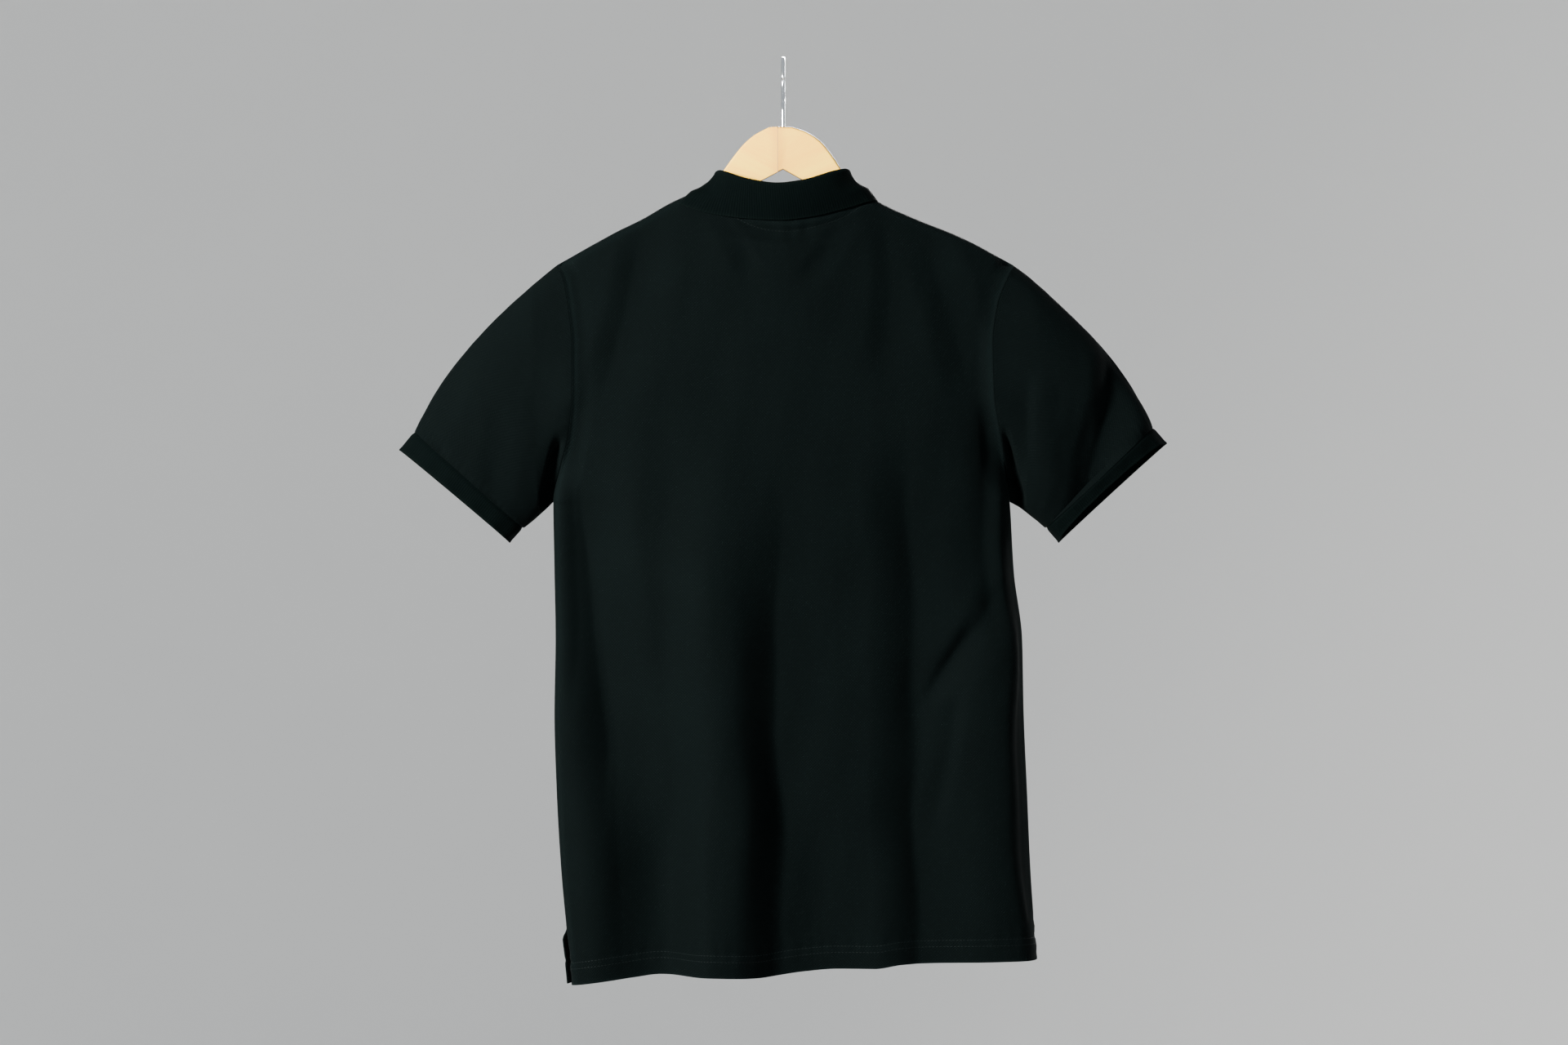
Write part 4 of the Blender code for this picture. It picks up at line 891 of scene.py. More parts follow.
no_wear = np.zeros(left_sleeve_grid.shape[:2])
left_sleeve = make_tube("left_sleeve_cloth", left_sleeve_grid, left_sleeve_out, WALL, no_wear)
right_sleeve = make_tube("right_sleeve_cloth", right_sleeve_grid, right_sleeve_out, WALL, no_wear)
print("sleeves:", len(left_sleeve.data.polygons), "faces each")

# %% [markdown]
# ## Cuffs
# The cuffs are bands of flat-knitted rib, a little thicker and tighter than the sleeve. Each band carries
# the sleeve's last loop on to the cuff's edge, which bows in a little where the band grips. The knitted
# edge is a firm cord, so the outer rows swell slightly.

# %% Make the cuffs
CUFF_WIDTH, CUFF_RADIUS = 0.024, 0.09
CORD_SWELL, CORD_PLACE, CORD_REACH = 0.0005, 0.0015, 0.0016
CUFF_SINK, CUFF_SINK_REACH = 0.0006, 0.0025
CUFF_WAVE, CUFF_WAVE_PITCH, CUFF_WAVE_START = 0.0004, 0.041, 1.3
RIB_PROUD, RIB_PROUD_FROM = 0.0004, 0.004
CUFF_WEAR = Wear(0.9, 1, 0.08)


def cuff_grid(sleeve, edge, bow):
    """A band from just past the sleeve's last ring to the cuff's edge."""
    end = ring(edge)
    axis = unit(end.mean(axis=0) - sleeve[-1].mean(axis=0))
    end = end - bow * np.clip(-end[:, 1:2] / edge.depth, 0, 1) * axis
    start = sleeve[-1] + SEAM_GAP * unit(end - sleeve[-1])
    shares = np.linspace(0, 1, CUFF_ROWS + 1)
    band = np.array([lerp(start, end, share) for share in shares])
    side = RIGHT if edge.top_x > 0 else LEFT
    outward = side * grid_normals(band, wrap=True)
    width = CUFF_WIDTH * shares[:, None]
    turn = 2 * math.pi * CUFF_RADIUS * ring_turns[None, :] / CUFF_WAVE_PITCH
    swell = CORD_SWELL * bell(CUFF_WIDTH - width - CORD_PLACE, CORD_REACH)
    swell = swell - CUFF_SINK * bell(width, CUFF_SINK_REACH)
    swell = swell + CUFF_WAVE * np.sin(turn + CUFF_WAVE_START) * smoothstep(0, 0.02, width)
    band = band + (swell + RIB_PROUD * smoothstep(0, RIB_PROUD_FROM, width))[..., None] * outward
    return band, side * grid_normals(band, wrap=True)


def cuff_worn(grid):
    width = np.linspace(0, 1, len(grid))[:, None]
    return np.broadcast_to(rubbed(width, CUFF_WEAR), grid.shape[:2]).copy()


left_cuff_grid, left_cuff_out = cuff_grid(left_sleeve_grid, LEFT_CUFF_EDGE, LEFT_CUFF_BOW)
right_cuff_grid, right_cuff_out = cuff_grid(right_sleeve_grid, RIGHT_CUFF_EDGE, RIGHT_CUFF_BOW)
worn_edge = cuff_worn(left_cuff_grid)
left_cuff = make_tube("left_cuff_rib", left_cuff_grid, left_cuff_out, RIB_WALL, worn_edge)
right_cuff = make_tube("right_cuff_rib", right_cuff_grid, right_cuff_out, RIB_WALL, worn_edge)
print("cuffs:", len(left_cuff.data.polygons), "faces each")

# %% [markdown]
# ## Collar
# A polo collar is a single flat-knitted strip. It rises from the neck seam as the stand, rolls over a
# soft fold and falls outside as the leaf. We follow it round the neck by angle, with a list of where the
# fold and the leaf's edge lie, and build each cross-section as a straight rise, a half circle and a
# gently bulging fall.

# %% Lists of the collar
Turn = namedtuple("Turn", "angle fold_x fold_y fold_z edge_x edge_z")
COLLAR = [
    Turn(-180, -0.0028, 0.041, -0.194, -0.053, -0.246),
    Turn(-150, -0.033, 0.037, -0.176, -0.068, -0.222),
    Turn(-135, -0.045, 0.032, -0.158, -0.080, -0.199),
    Turn(-120, -0.056, 0.023, -0.137, -0.092, -0.174),
    Turn(-105, -0.0600, 0.014, -0.114, -0.0965, -0.1500),
    Turn(-97, -0.0605, 0.009, -0.1045, -0.0980, -0.1390),
    Turn(-90, -0.0600, -0.002, -0.1020, -0.0965, -0.1325),
    Turn(-82, -0.0585, -0.009, -0.1015, -0.0910, -0.1340),
    Turn(-60, -0.0530, -0.018, -0.1032, -0.0720, -0.1400),
    Turn(-30, -0.0320, -0.0255, -0.1102, -0.0330, -0.1460),
    Turn(0, -0.0060, -0.0275, -0.1140, -0.0030, -0.1475),
    Turn(30, 0.0180, -0.0255, -0.1112, 0.0240, -0.1445),
    Turn(60, 0.0460, -0.018, -0.1026, 0.0600, -0.1355),
    Turn(82, 0.0575, -0.009, -0.1000, 0.0790, -0.1300),
    Turn(90, 0.0590, -0.002, -0.1005, 0.0855, -0.1295),
    Turn(97, 0.0595, 0.009, -0.1035, 0.0875, -0.1375),
    Turn(105, 0.0585, 0.015, -0.1140, 0.0870, -0.1490),
    Turn(120, 0.051, 0.023, -0.137, 0.084, -0.173),
    Turn(135, 0.040, 0.032, -0.158, 0.073, -0.198),
    Turn(150, 0.028, 0.037, -0.176, 0.062, -0.222),
    Turn(180, -0.0012, 0.041, -0.194, 0.048, -0.246),
]
FOLD_RADIUS, LEAF_BULGE, LEAF_SAG = 0.0024, 0.0018, 0.0036
LEAF_CLEAR_BACK, LEAF_CLEAR_FRONT, LEAF_CLEAR_RIDGE = 0.0013, 0.0042, 0.0006
RIDGE_TURN, RIDGE_REACH = 92, 18
LEAF_CLEAR_CHANGE, SIDE_CHANGE, SHOULDER_TURNS, SAG_END = (105, 150), (87, 93), (10, 40), 0.6
COLLAR_POINTS, SMOOTH_PASSES = 220, 4
STAND_ROWS, FOLD_ROWS, LEAF_ROWS = 8, 8, 18
FOLD_WEAR, FOLD_SIDE_WEAR, LEAF_EDGE_WEAR = 0.7, Wear(0.25, 0, 0.2), Wear(0.9, 1, 0.05)
SLOPE_STEP = 0.0005


def arc_share(points):
    """Share of the way along a run of points, 0 at the first and 1 at the last."""
    steps = np.linalg.norm(np.diff(points, axis=0), axis=-1)
    return np.concatenate([[0.0], np.cumsum(steps)]) / steps.sum()


def resample(points, count):
    share = arc_share(points)
    at = np.linspace(0, 1, count)
    return np.stack([np.interp(at, share, points[:, axis]) for axis in range(3)], axis=-1)


def lifted(side, x, z, clear):
    """Points above a panel's form, moved out from it square to the cloth."""
    z = np.minimum(z, shoulder_z(x))
    here = stand_off(side, x, z)
    across = (stand_off(side, x + SLOPE_STEP, z) - stand_off(side, x - SLOPE_STEP, z)) / (2 * SLOPE_STEP)
    down = (stand_off(side, x, z - SLOPE_STEP) - here) / SLOPE_STEP
    normal = unit(np.stack([-across, side * np.ones_like(x), down], -1))
    return np.stack([x, side * here, z], -1) + np.reshape(clear, (-1, 1)) * normal


def neck_path(back_grid, front_grid):
    """The panels' edge round the neck, from the left front over the back to the right front."""
    first, last = SHOULDER_COLUMNS, back_grid.shape[1] - 1 - SHOULDER_COLUMNS
    middle = (first + last) // 2
    left, right = front_grid[0, first:middle][::-1], front_grid[0, middle + 1 : last + 1][::-1]
    return np.array([*left, *back_grid[0, first + 1 : last], *right])


neck = neck_path(back, front)
print("neck seam:", round(1000 * run_along(neck)[-1]), "mm round")

# %% [markdown]
# Now we loft it: each row of the grid is one line round the neck. The leaf lies a little clear of the
# shoulders, and takes more room in front, where the collar's own points lie over the placket.

# %% Loft the collar
def collar_grid(seam):
    """Rows of the collar's middle surface: up the stand, over the fold and down the leaf."""
    left, right = int(np.argmin(seam[:, 0])), int(np.argmax(seam[:, 0]))
    front_left = -180 + 90 * arc_share(seam[: left + 1])
    behind = -90 + 180 * arc_share(seam[left : right + 1])[1:]
    front_right = 90 + 90 * arc_share(seam[right:])[1:]
    angle = np.concatenate([front_left, behind, front_right])
    fold_x, fold_y, fold_z, edge_x, edge_z = (
        curve(column(COLLAR, "angle"), column(COLLAR, name), angle) for name in Turn._fields[1:]
    )
    fold = np.stack([fold_x, fold_y, fold_z], -1)
    clear = lerp(LEAF_CLEAR_BACK, LEAF_CLEAR_FRONT, smoothstep(*LEAF_CLEAR_CHANGE, np.abs(angle)))
    clear = clear + LEAF_CLEAR_RIDGE * (1 - smoothstep(0, RIDGE_REACH, np.abs(np.abs(angle) - RIDGE_TURN)))
    in_front = smoothstep(*SIDE_CHANGE, np.abs(angle))[:, None]
    edge = lerp(lifted(BACK, edge_x, edge_z, clear), lifted(FRONT, edge_x, edge_z, clear), in_front)
    up = np.array([0.0, 0.0, 1.0])
    outward = unit(np.cross(np.gradient(fold, axis=0), up))
    outward = -outward * np.sign(outward[len(seam) // 2, 1])
    inner = fold - FOLD_RADIUS * (outward + up)
    outer = fold + FOLD_RADIUS * (outward - up)
    rows = [lerp(seam, inner, share) for share in np.linspace(0, 1, STAND_ROWS + 1)]
    rows[0] = seam + SEAM_GAP * unit(inner - seam)
    for turn in np.linspace(math.pi, 0, FOLD_ROWS + 1)[1:]:
        rows.append(fold - FOLD_RADIUS * up + FOLD_RADIUS * (math.cos(turn) * outward + math.sin(turn) * up))
    fall = edge - outer
    lift = unit(np.cross(np.gradient(edge, axis=0), fall))
    lift = -lift * np.sign(lift[len(seam) // 2, 1])
    on_shoulder = (1 - smoothstep(*SHOULDER_TURNS, np.abs(np.abs(angle) - 90)))[:, None]
    for share in np.linspace(0, 1, LEAF_ROWS + 1)[1:]:
        sag = LEAF_SAG * on_shoulder * math.sin(math.pi * min(share / SAG_END, 1.0))
        rows.append(lerp(outer, edge, share) + (LEAF_BULGE * math.sin(math.pi * share) - sag) * lift)
    return np.array(rows)


def smoothed(grid, passes):
    """Evens a grid along its columns, leaving the two ends of each row where they are."""
    for _ in range(passes):
        grid[1:, 1:-1] = 0.5 * grid[1:, 1:-1] + 0.25 * (grid[1:, :-2] + grid[1:, 2:])
    return grid


collar_middle = smoothed(collar_grid(resample(neck, COLLAR_POINTS)), SMOOTH_PASSES)
collar_out = grid_normals(collar_middle)
leaf_row = STAND_ROWS + FOLD_ROWS + LEAF_ROWS // 2
if (collar_out[leaf_row, COLLAR_POINTS // 2] * np.array([0, -1, 0])).sum() < 0:
    collar_out = -collar_out
collar_run = run_along(collar_middle[leaf_row])
row_steps = np.linalg.norm(np.diff(collar_middle, axis=0), axis=-1).mean(axis=1)
collar_down = np.concatenate([[0], np.cumsum(row_steps)])
collar_uv = np.stack(np.meshgrid(collar_run, -collar_down), axis=-1)
leaf_share = np.linspace(0, 1, LEAF_ROWS + 1)
leaf_wear = rubbed(leaf_share, FOLD_SIDE_WEAR) + rubbed(leaf_share, LEAF_EDGE_WEAR)
row_wear = np.concatenate([np.zeros(STAND_ROWS), FOLD_WEAR * np.ones(FOLD_ROWS), leaf_wear])
collar_worn = np.broadcast_to(row_wear[:, None], collar_middle.shape[:2]).copy()
collar = cloth_piece("collar_rib", collar_middle, collar_out, collar_uv, collar_worn)
thicken(collar, RIB_WALL, offset=0.0)
print("collar strip:", round(1000 * collar_run[-1]), "x", round(1000 * collar_down[-1]), "mm")

# %% [markdown]
# ## Placket
# The opening at the front is closed by two strips of the same piqué, folded double. One fills the slit
# and carries the buttons, and the other lies over it with the buttonholes. Both are made from the
# front's own points, so they follow its form. We give the upper strip a finer grid, because its folded
# edges are soft and the stitches beside them sink in.

# %% Make the two strips
PLACKET_WALL, LAY_GAP, TURNED_GAP = 0.0020, 0.0004, 0.00036
PLACKET_TRIM = 0.0003
OVER_COLUMNS, FINER_TIMES = 9, 2
EDGE_STITCH = 0.0032
STITCH_SINK, STITCH_SINK_REACH, FOLD_ROUND, FOLD_ROUND_REACH = 0.0004, 0.0016, 0.0005, 0.0008
STRIP_WEAR = Wear(0.8, 0, 0.0012)
over_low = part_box("placket_over")[0].z
OVER_ROWS = int(np.argmin(np.abs(front[:, middle_column, 2] - over_low)))


def finer(grid, times):
    """The same strip of cloth with that many times the rows and columns."""
    rows, columns = grid.shape[:2]
    at_row = np.linspace(0, rows - 1, (rows - 1) * times + 1)
    at_column = np.linspace(0, columns - 1, (columns - 1) * times + 1)
    down = np.clip(at_row.astype(int), 0, rows - 2)
    grid = lerp(grid[down], grid[down + 1], (at_row - down)[:, None, None])
    across = np.clip(at_column.astype(int), 0, columns - 2)
    return lerp(grid[:, across], grid[:, across + 1], (at_column - across)[None, :, None])


def strip_uv(grid):
    """Metres across and down a strip."""
    across = np.linalg.norm(np.diff(grid, axis=1), axis=-1).mean(axis=0)
    down = np.linalg.norm(np.diff(grid, axis=0), axis=-1).mean(axis=1)
    return np.stack(np.meshgrid([0, *np.cumsum(across)], -np.array([0, *np.cumsum(down)])), axis=-1)


over_columns = slice(middle_column - OVER_COLUMNS, middle_column + OVER_COLUMNS + 1)
over = finer(front[: OVER_ROWS + 1, over_columns], FINER_TIMES)
over_out = unit(finer(front_out[: OVER_ROWS + 1, over_columns], FINER_TIMES))
over_uv = strip_uv(over)
from_edge = np.minimum(over_uv[..., 0], over_uv[..., 0].max() - over_uv[..., 0])
from_edge = np.minimum(from_edge, over_uv[..., 1] - over_uv[..., 1].min())
sink = STITCH_SINK * bell(from_edge - EDGE_STITCH, STITCH_SINK_REACH)
sink = sink + FOLD_ROUND * bell(from_edge, FOLD_ROUND_REACH)
over = over + (LAY_GAP + PLACKET_WALL - sink)[..., None] * over_out
placket_over = cloth_piece("placket_over_cloth", over, over_out, over_uv, rubbed(from_edge, STRIP_WEAR))
thicken(placket_over, PLACKET_WALL - PLACKET_TRIM)
under = front[: NOTCH_ROWS + 1, notch_columns].copy()
under_out = front_out[: NOTCH_ROWS + 1, notch_columns]
under_inset = TURNED_GAP * unit(under[:, -1] - under[:, 0])
under[:, 0] += under_inset
under[:, -1] -= under_inset
under[-1] += TURNED_GAP * unit(under[-2] - under[-1])
unworn = np.zeros(under.shape[:2])
placket_under = thicken(cloth_piece("placket_under_cloth", under, under_out, strip_uv(under), unworn), WALL)
strip_width, strip_length = over_uv[..., 0].max(), -over_uv[..., 1].min()
print("upper strip:", round(1000 * strip_width), "x", round(1000 * strip_length), "mm")

# %% [markdown]
# ## Buttons
# A shirt button is turned from a resin sheet: a disc with a rounded rim, a dished face and four holes
# drilled before polishing. We do the same: a cylinder, its edges bevelled, its face inset and pressed
# down, and the holes cut with a Boolean. It is modelled once and copied for each place.

# %% Model one button
BUTTON_RADIUS, BUTTON_HEIGHT = 0.0056, 0.0026
BUTTON_SIDES, RIM_BEVEL, RIM_STEPS, RIM_SMOOTH_BELOW = 40, 0.0008, 4, math.radians(35)
DISH_STEPS = [(0.0007, 0.0), (0.0004, -0.0003), (0.0004, -0.0004)]
HOLE_RADIUS, HOLE_PLACE, HOLE_TURNS = 0.00075, 0.00125, (45, 135, 225, 315)
HOLE_SIDES, DRILL_LENGTH = 14, 0.01
SAME_PLACE = 1e-6


def select_where(piece, kind, test):
    """Selects the vertices, edges or faces of a piece whose middle passes a test, ready for edit mode."""
    pick(piece)
    bpy.ops.object.mode_set(mode="EDIT")
    bpy.ops.mesh.select_mode(type=kind)
    bpy.ops.mesh.select_all(action="DESELECT")
    bpy.ops.object.mode_set(mode="OBJECT")
    mesh = piece.data
    items = {"VERT": mesh.vertices, "EDGE": mesh.edges, "FACE": mesh.polygons}[kind]
    for item in items:
        corners = [mesh.vertices[i].co for i in ([item.index] if kind == "VERT" else item.vertices)]
        item.select = bool(test(sum(corners, Vector()) / len(corners), item))
    bpy.ops.object.mode_set(mode="EDIT")


def apply(piece, kind, **settings):
    """Adds a modifier with those settings and applies it."""
    pick(piece)
    modifier = piece.modifiers.new(kind.lower(), kind)
    for name, value in settings.items():
        setattr(modifier, name, value)
    bpy.ops.object.modifier_apply(modifier=modifier.name)


def on_rim(middle, edge):
    start, end = (blank.data.vertices[i].co for i in edge.vertices)
    return abs(start.z - end.z) < SAME_PLACE


def on_face(middle, face):
    return face.normal.z > 0.99 and middle.z > BUTTON_HEIGHT - SAME_PLACE


bpy.ops.object.select_all(action="DESELECT")
bpy.ops.mesh.primitive_cylinder_add(
    vertices=BUTTON_SIDES, radius=BUTTON_RADIUS, depth=BUTTON_HEIGHT, location=(0, 0, BUTTON_HEIGHT / 2)
)
blank = added("button_blank")
bpy.ops.object.transform_apply(location=True, rotation=True, scale=True)
select_where(blank, "EDGE", on_rim)
bpy.ops.mesh.bevel(offset=RIM_BEVEL, segments=RIM_STEPS, profile=0.5)
bpy.ops.object.mode_set(mode="OBJECT")
select_where(blank, "FACE", on_face)
for inwards, down in DISH_STEPS:
    bpy.ops.mesh.inset(thickness=inwards, depth=down)
bpy.ops.object.mode_set(mode="OBJECT")
for turn in HOLE_TURNS:
    angle = math.radians(turn)
    place = Vector((math.cos(angle), math.sin(angle), 0)) * HOLE_PLACE * math.sqrt(2)
    bpy.ops.object.select_all(action="DESELECT")
    bpy.ops.mesh.primitive_cylinder_add(
        vertices=HOLE_SIDES, radius=HOLE_RADIUS, depth=DRILL_LENGTH, location=place
    )
    drill = added("drill")
    bpy.ops.object.transform_apply(location=True, rotation=True, scale=True)
    apply(blank, "BOOLEAN", operation="DIFFERENCE", solver="EXACT", object=drill)
    bpy.data.objects.remove(drill)
pick(blank)
bpy.ops.object.shade_smooth_by_angle(angle=RIM_SMOOTH_BELOW)
print("button:", len(blank.data.polygons), "faces")


# %% [markdown]
# Each copy leans with the cloth below it, so we ask the front's own form for two points and take the
# slope between them.

# %% Sew on the buttons
def on_cloth(side, x, z, above=0.0):
    """Points on the outer face of a panel, or a little above it."""
    x, z = np.atleast_1d(np.asarray(x, float)), np.atleast_1d(np.asarray(z, float))
    return lifted(side, x, z, above - panel_relief(side, x, z))


SHANK_GAP = 0.0006
BUTTON_LIFT = LAY_GAP + PLACKET_WALL + SHANK_GAP
buttons, button_frames = [], []
for number in (1, 2, 3):
    low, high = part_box(f"button_{number}")
    middle = (low + high) / 2
    ends = on_cloth(FRONT, [middle.x] * 2, [middle.z + BUTTON_RADIUS, middle.z - BUTTON_RADIUS])
    lean = math.atan2(ends[1, 1] - ends[0, 1], 2 * BUTTON_RADIUS)
    pick(blank)
    bpy.ops.object.duplicate()
    button = added(f"button_{number}_resin")
    button.rotation_euler = (-math.pi / 2 + lean, 0, 0)
    button.location = (middle.x, ends[:, 1].mean() + BUTTON_LIFT, middle.z)
    bpy.context.view_layer.update()
    button_frames.append(np.array(button.matrix_world))
    bpy.ops.object.transform_apply(location=True, rotation=True, scale=True)
    buttons.append(button)
bpy.data.objects.remove(blank)
print("buttons lean by", round(math.degrees(lean), 1), "degrees at the lowest")

# %% [markdown]
# ## Hanger
# The hanger is two boards of pale maple joined at the middle and sawn to one outline: a hump, two arms
# that follow the shoulders, round tips, and a notch below the hook. Its edges are rounded with a router.
# A circle gives us the ring of points. We lay them along the outline, push the face through by the
# thickness of the board, and bevel the edges, less along the underside, which is only sanded.

# %% Outline of the wood
WOOD_HALF, WOOD_BEVEL, WOOD_JOINT_X, WOOD_DROP = 0.006, 0.0028, -0.005, 0.0045
WOOD_TIP_RADIUS, WOOD_TIP_STEPS, ARM_POINTS, HUMP_POINTS = 0.008, 12, 16, 44
BEVEL_STEPS, UNDERSIDE_BEVEL, WOOD_SMOOTH_BELOW = 5, 0.3, math.radians(30)
UNDERSIDE_DROP, ON_LINE = 0.0139, 1e-5
WOOD_ENDS = {LEFT: -0.193, RIGHT: 0.195}
HUMP = {
    LEFT: [
        Along(-0.0620, -0.1095),
        Along(-0.0550, -0.1010),
        Along(-0.0455, -0.0880),
        Along(-0.0360, -0.0765),
        Along(-0.0260, -0.0680),
        Along(-0.0130, -0.0610),
    ],
    RIGHT: [
        Along(0.0080, -0.0605),
        Along(0.0210, -0.0650),
        Along(0.0340, -0.0735),
        Along(0.0430, -0.0840),
        Along(0.0535, -0.0995),
        Along(0.0610, -0.1100),
    ],
}
UNDERSIDE = {LEFT: Along(-0.086, -0.1445), RIGHT: Along(0.082, -0.1450)}
NOTCH_APEX = Along(0.0, -0.0995)


def wood_outline(side):
    """Outline of one half as (x, z) points, from the joint over the hump to the tip and back below."""
    hump = HUMP[side]
    inner, outer = (hump[-1].x, hump[0].x) if side == LEFT else (hump[0].x, hump[-1].x)
    hump_x = np.linspace(inner, outer, HUMP_POINTS)
    over_hump = list(zip(hump_x, curve(column(hump, "x"), column(hump, "z"), hump_x)))
    neck_x = NECK_LEFT_X if side == LEFT else NECK_RIGHT_X
    arm = [(x, float(shoulder_z(x)) - WOOD_DROP) for x in np.linspace(neck_x, WOOD_ENDS[side], ARM_POINTS)]
    slope = math.atan2(arm[-1][1] - arm[-2][1], abs(arm[-1][0] - arm[-2][0]))
    centre_x = arm[-1][0] + side * WOOD_TIP_RADIUS * math.sin(slope)
    centre_z = arm[-1][1] - WOOD_TIP_RADIUS * math.cos(slope)
    turns = np.linspace(math.pi / 2, -math.pi / 2, WOOD_TIP_STEPS + 2)[1:] + slope
    tip = [
        (centre_x + side * WOOD_TIP_RADIUS * math.cos(turn), centre_z + WOOD_TIP_RADIUS * math.sin(turn))
        for turn in turns
    ]
    joint = WOOD_JOINT_X + side * SEAM_GAP / 2
    below = [(UNDERSIDE[side].x, UNDERSIDE[side].z)]
    if side == RIGHT:
        below.append((NOTCH_APEX.x, NOTCH_APEX.z))
    share = (joint - NOTCH_APEX.x) / (UNDERSIDE[LEFT].x - NOTCH_APEX.x)
    below.append((joint, lerp(NOTCH_APEX.z, UNDERSIDE[LEFT].z, share)))
    crest = (joint, max(HUMP[LEFT][-1].z, HUMP[RIGHT][0].z))
    return [crest, *over_hump, *arm, *tip, *below]


print("joint between the boards at", round(1000 * WOOD_JOINT_X, 1), "mm")

# %% [markdown]
# Edges are chosen by weight: one for the routed outline, less for the sanded underside, and none where
# the two boards are glued, since there they stay sharp. Bevel then reads the weights.

# %% Cut and round the two halves
def make_half(name, side):
    """One board, cut to its outline, with its edges rounded."""
    points = wood_outline(side)
    bpy.ops.object.select_all(action="DESELECT")
    bpy.ops.mesh.primitive_circle_add(vertices=len(points), radius=0.1, fill_type="NGON")
    half = added(name)
    for vert, (x, z) in zip(half.data.vertices, points):
        vert.co = (x, -WOOD_HALF, z)
    pick(half)
    bpy.ops.object.mode_set(mode="EDIT")
    bpy.ops.mesh.select_all(action="SELECT")
    bpy.ops.mesh.extrude_region_move(TRANSFORM_OT_translate={"value": (0, 2 * WOOD_HALF, 0)})
    bpy.ops.mesh.select_all(action="SELECT")
    bpy.ops.mesh.normals_make_consistent(inside=False)
    bpy.ops.object.mode_set(mode="OBJECT")
    weights = half.data.attributes.new("bevel_weight_edge", "FLOAT", "EDGE").data
    joint = WOOD_JOINT_X + side * SEAM_GAP / 2
    underside_x = abs(UNDERSIDE[side].x)
    for edge in half.data.edges:
        start, end = (half.data.vertices[i].co for i in edge.vertices)
        along_outline = abs(start.y - end.y) < ON_LINE
        at_joint = abs(start.x - joint) < ON_LINE and abs(end.x - joint) < ON_LINE
        near_middle = max(abs(start.x), abs(end.x)) <= underside_x + ON_LINE
        low = (start.z + end.z) / 2 < shoulder_z((start.x + end.x) / 2) - UNDERSIDE_DROP
        routed = UNDERSIDE_BEVEL if near_middle and low else 1.0
        weights[edge.index].value = 0.0 if at_joint or not along_outline else routed
    apply(half, "BEVEL", width=WOOD_BEVEL, segments=BEVEL_STEPS, limit_method="WEIGHT")
    bpy.ops.object.shade_smooth_by_angle(angle=WOOD_SMOOTH_BELOW)
    return half


hanger_left = make_half("hanger_left_board", LEFT)
hanger_right = make_half("hanger_right_board", RIGHT)
print("boards:", len(hanger_left.data.polygons), "and", len(hanger_right.data.polygons), "faces")

# %% [markdown]
# ## Hook
# The hook is steel wire bent round a former and chromed. A ring of points is spun round the centre of
# the bend, spun back the other way for the neck, and drawn straight down into the wood. Its open end is
# rounded off, so that it doesn't catch.

# %% Bend the wire
WIRE_RADIUS, HOOK_RADIUS = 0.0020, 0.0200
HOOK_OPEN_ANGLE, HOOK_END_ANGLE, SHANK_BOTTOM = 176, -70, -0.078
WIRE_SIDES, BEND_STEPS, NECK_STEPS = 20, 64, 16
hook_z = WIRE_RADIUS - HOOK_RADIUS
open_turn, end_turn = math.radians(HOOK_OPEN_ANGLE), math.radians(HOOK_END_ANGLE)
tip_place = (0, HOOK_RADIUS * math.cos(open_turn), hook_z + HOOK_RADIUS * math.sin(open_turn))
bpy.ops.object.select_all(action="DESELECT")
bpy.ops.mesh.primitive_circle_add(
    vertices=WIRE_SIDES, radius=WIRE_RADIUS, location=tip_place, rotation=(open_turn, 0, 0)
)
hook = added("hook_wire_chromed")
bpy.ops.object.transform_apply(location=True, rotation=True, scale=True)
bpy.ops.object.mode_set(mode="EDIT")
bpy.ops.mesh.select_all(action="SELECT")
bpy.ops.mesh.spin(steps=BEND_STEPS, angle=open_turn - end_turn, center=(0, 0, hook_z), axis=(1, 0, 0))
end_y, end_z = HOOK_RADIUS * math.cos(end_turn), hook_z + HOOK_RADIUS * math.sin(end_turn)
neck_radius = end_y / (1 - math.cos(end_turn))
neck_centre_z = end_z + neck_radius * math.sin(end_turn)
bpy.ops.mesh.spin(steps=NECK_STEPS, angle=-end_turn, center=(0, neck_radius, neck_centre_z), axis=(-1, 0, 0))
bpy.ops.mesh.extrude_region_move(TRANSFORM_OT_translate={"value": (0, 0, SHANK_BOTTOM - neck_centre_z)})
bpy.ops.mesh.fill()
bpy.ops.object.mode_set(mode="OBJECT")
print("neck is straight from", round(1000 * neck_centre_z, 1), "mm down")

# %% [markdown]
# The open end is drawn out in four short steps, each narrower than the last, as on a ball, and filled.
# The spins leave doubled points where they meet, so we merge those before we turn the faces outwards.

# %% Round the open end
TIP_TURNS = (25, 48, 68, 82)
HOOK_SMOOTH_BELOW = math.radians(45)
tip_middle, tip_run = Vector(tip_place), Vector((0, -math.sin(open_turn), math.cos(open_turn)))
select_where(hook, "VERT", lambda middle, vert: (middle - tip_middle).length < 1.001 * WIRE_RADIUS)
reached, width = 0.0, 1.0
for turn in TIP_TURNS:
    step = WIRE_RADIUS * math.sin(math.radians(turn)) - reached
    bpy.ops.mesh.extrude_region_move(TRANSFORM_OT_translate={"value": tip_run * step})
    reached += step
    shrink = math.cos(math.radians(turn)) / width
    width *= shrink
    bpy.ops.transform.resize(value=(shrink,) * 3, center_override=tip_middle + tip_run * reached)
bpy.ops.mesh.fill()
bpy.ops.mesh.select_all(action="SELECT")
bpy.ops.mesh.remove_doubles(threshold=MERGE_WITHIN)
bpy.ops.mesh.normals_make_consistent(inside=False)
bpy.ops.object.mode_set(mode="OBJECT")
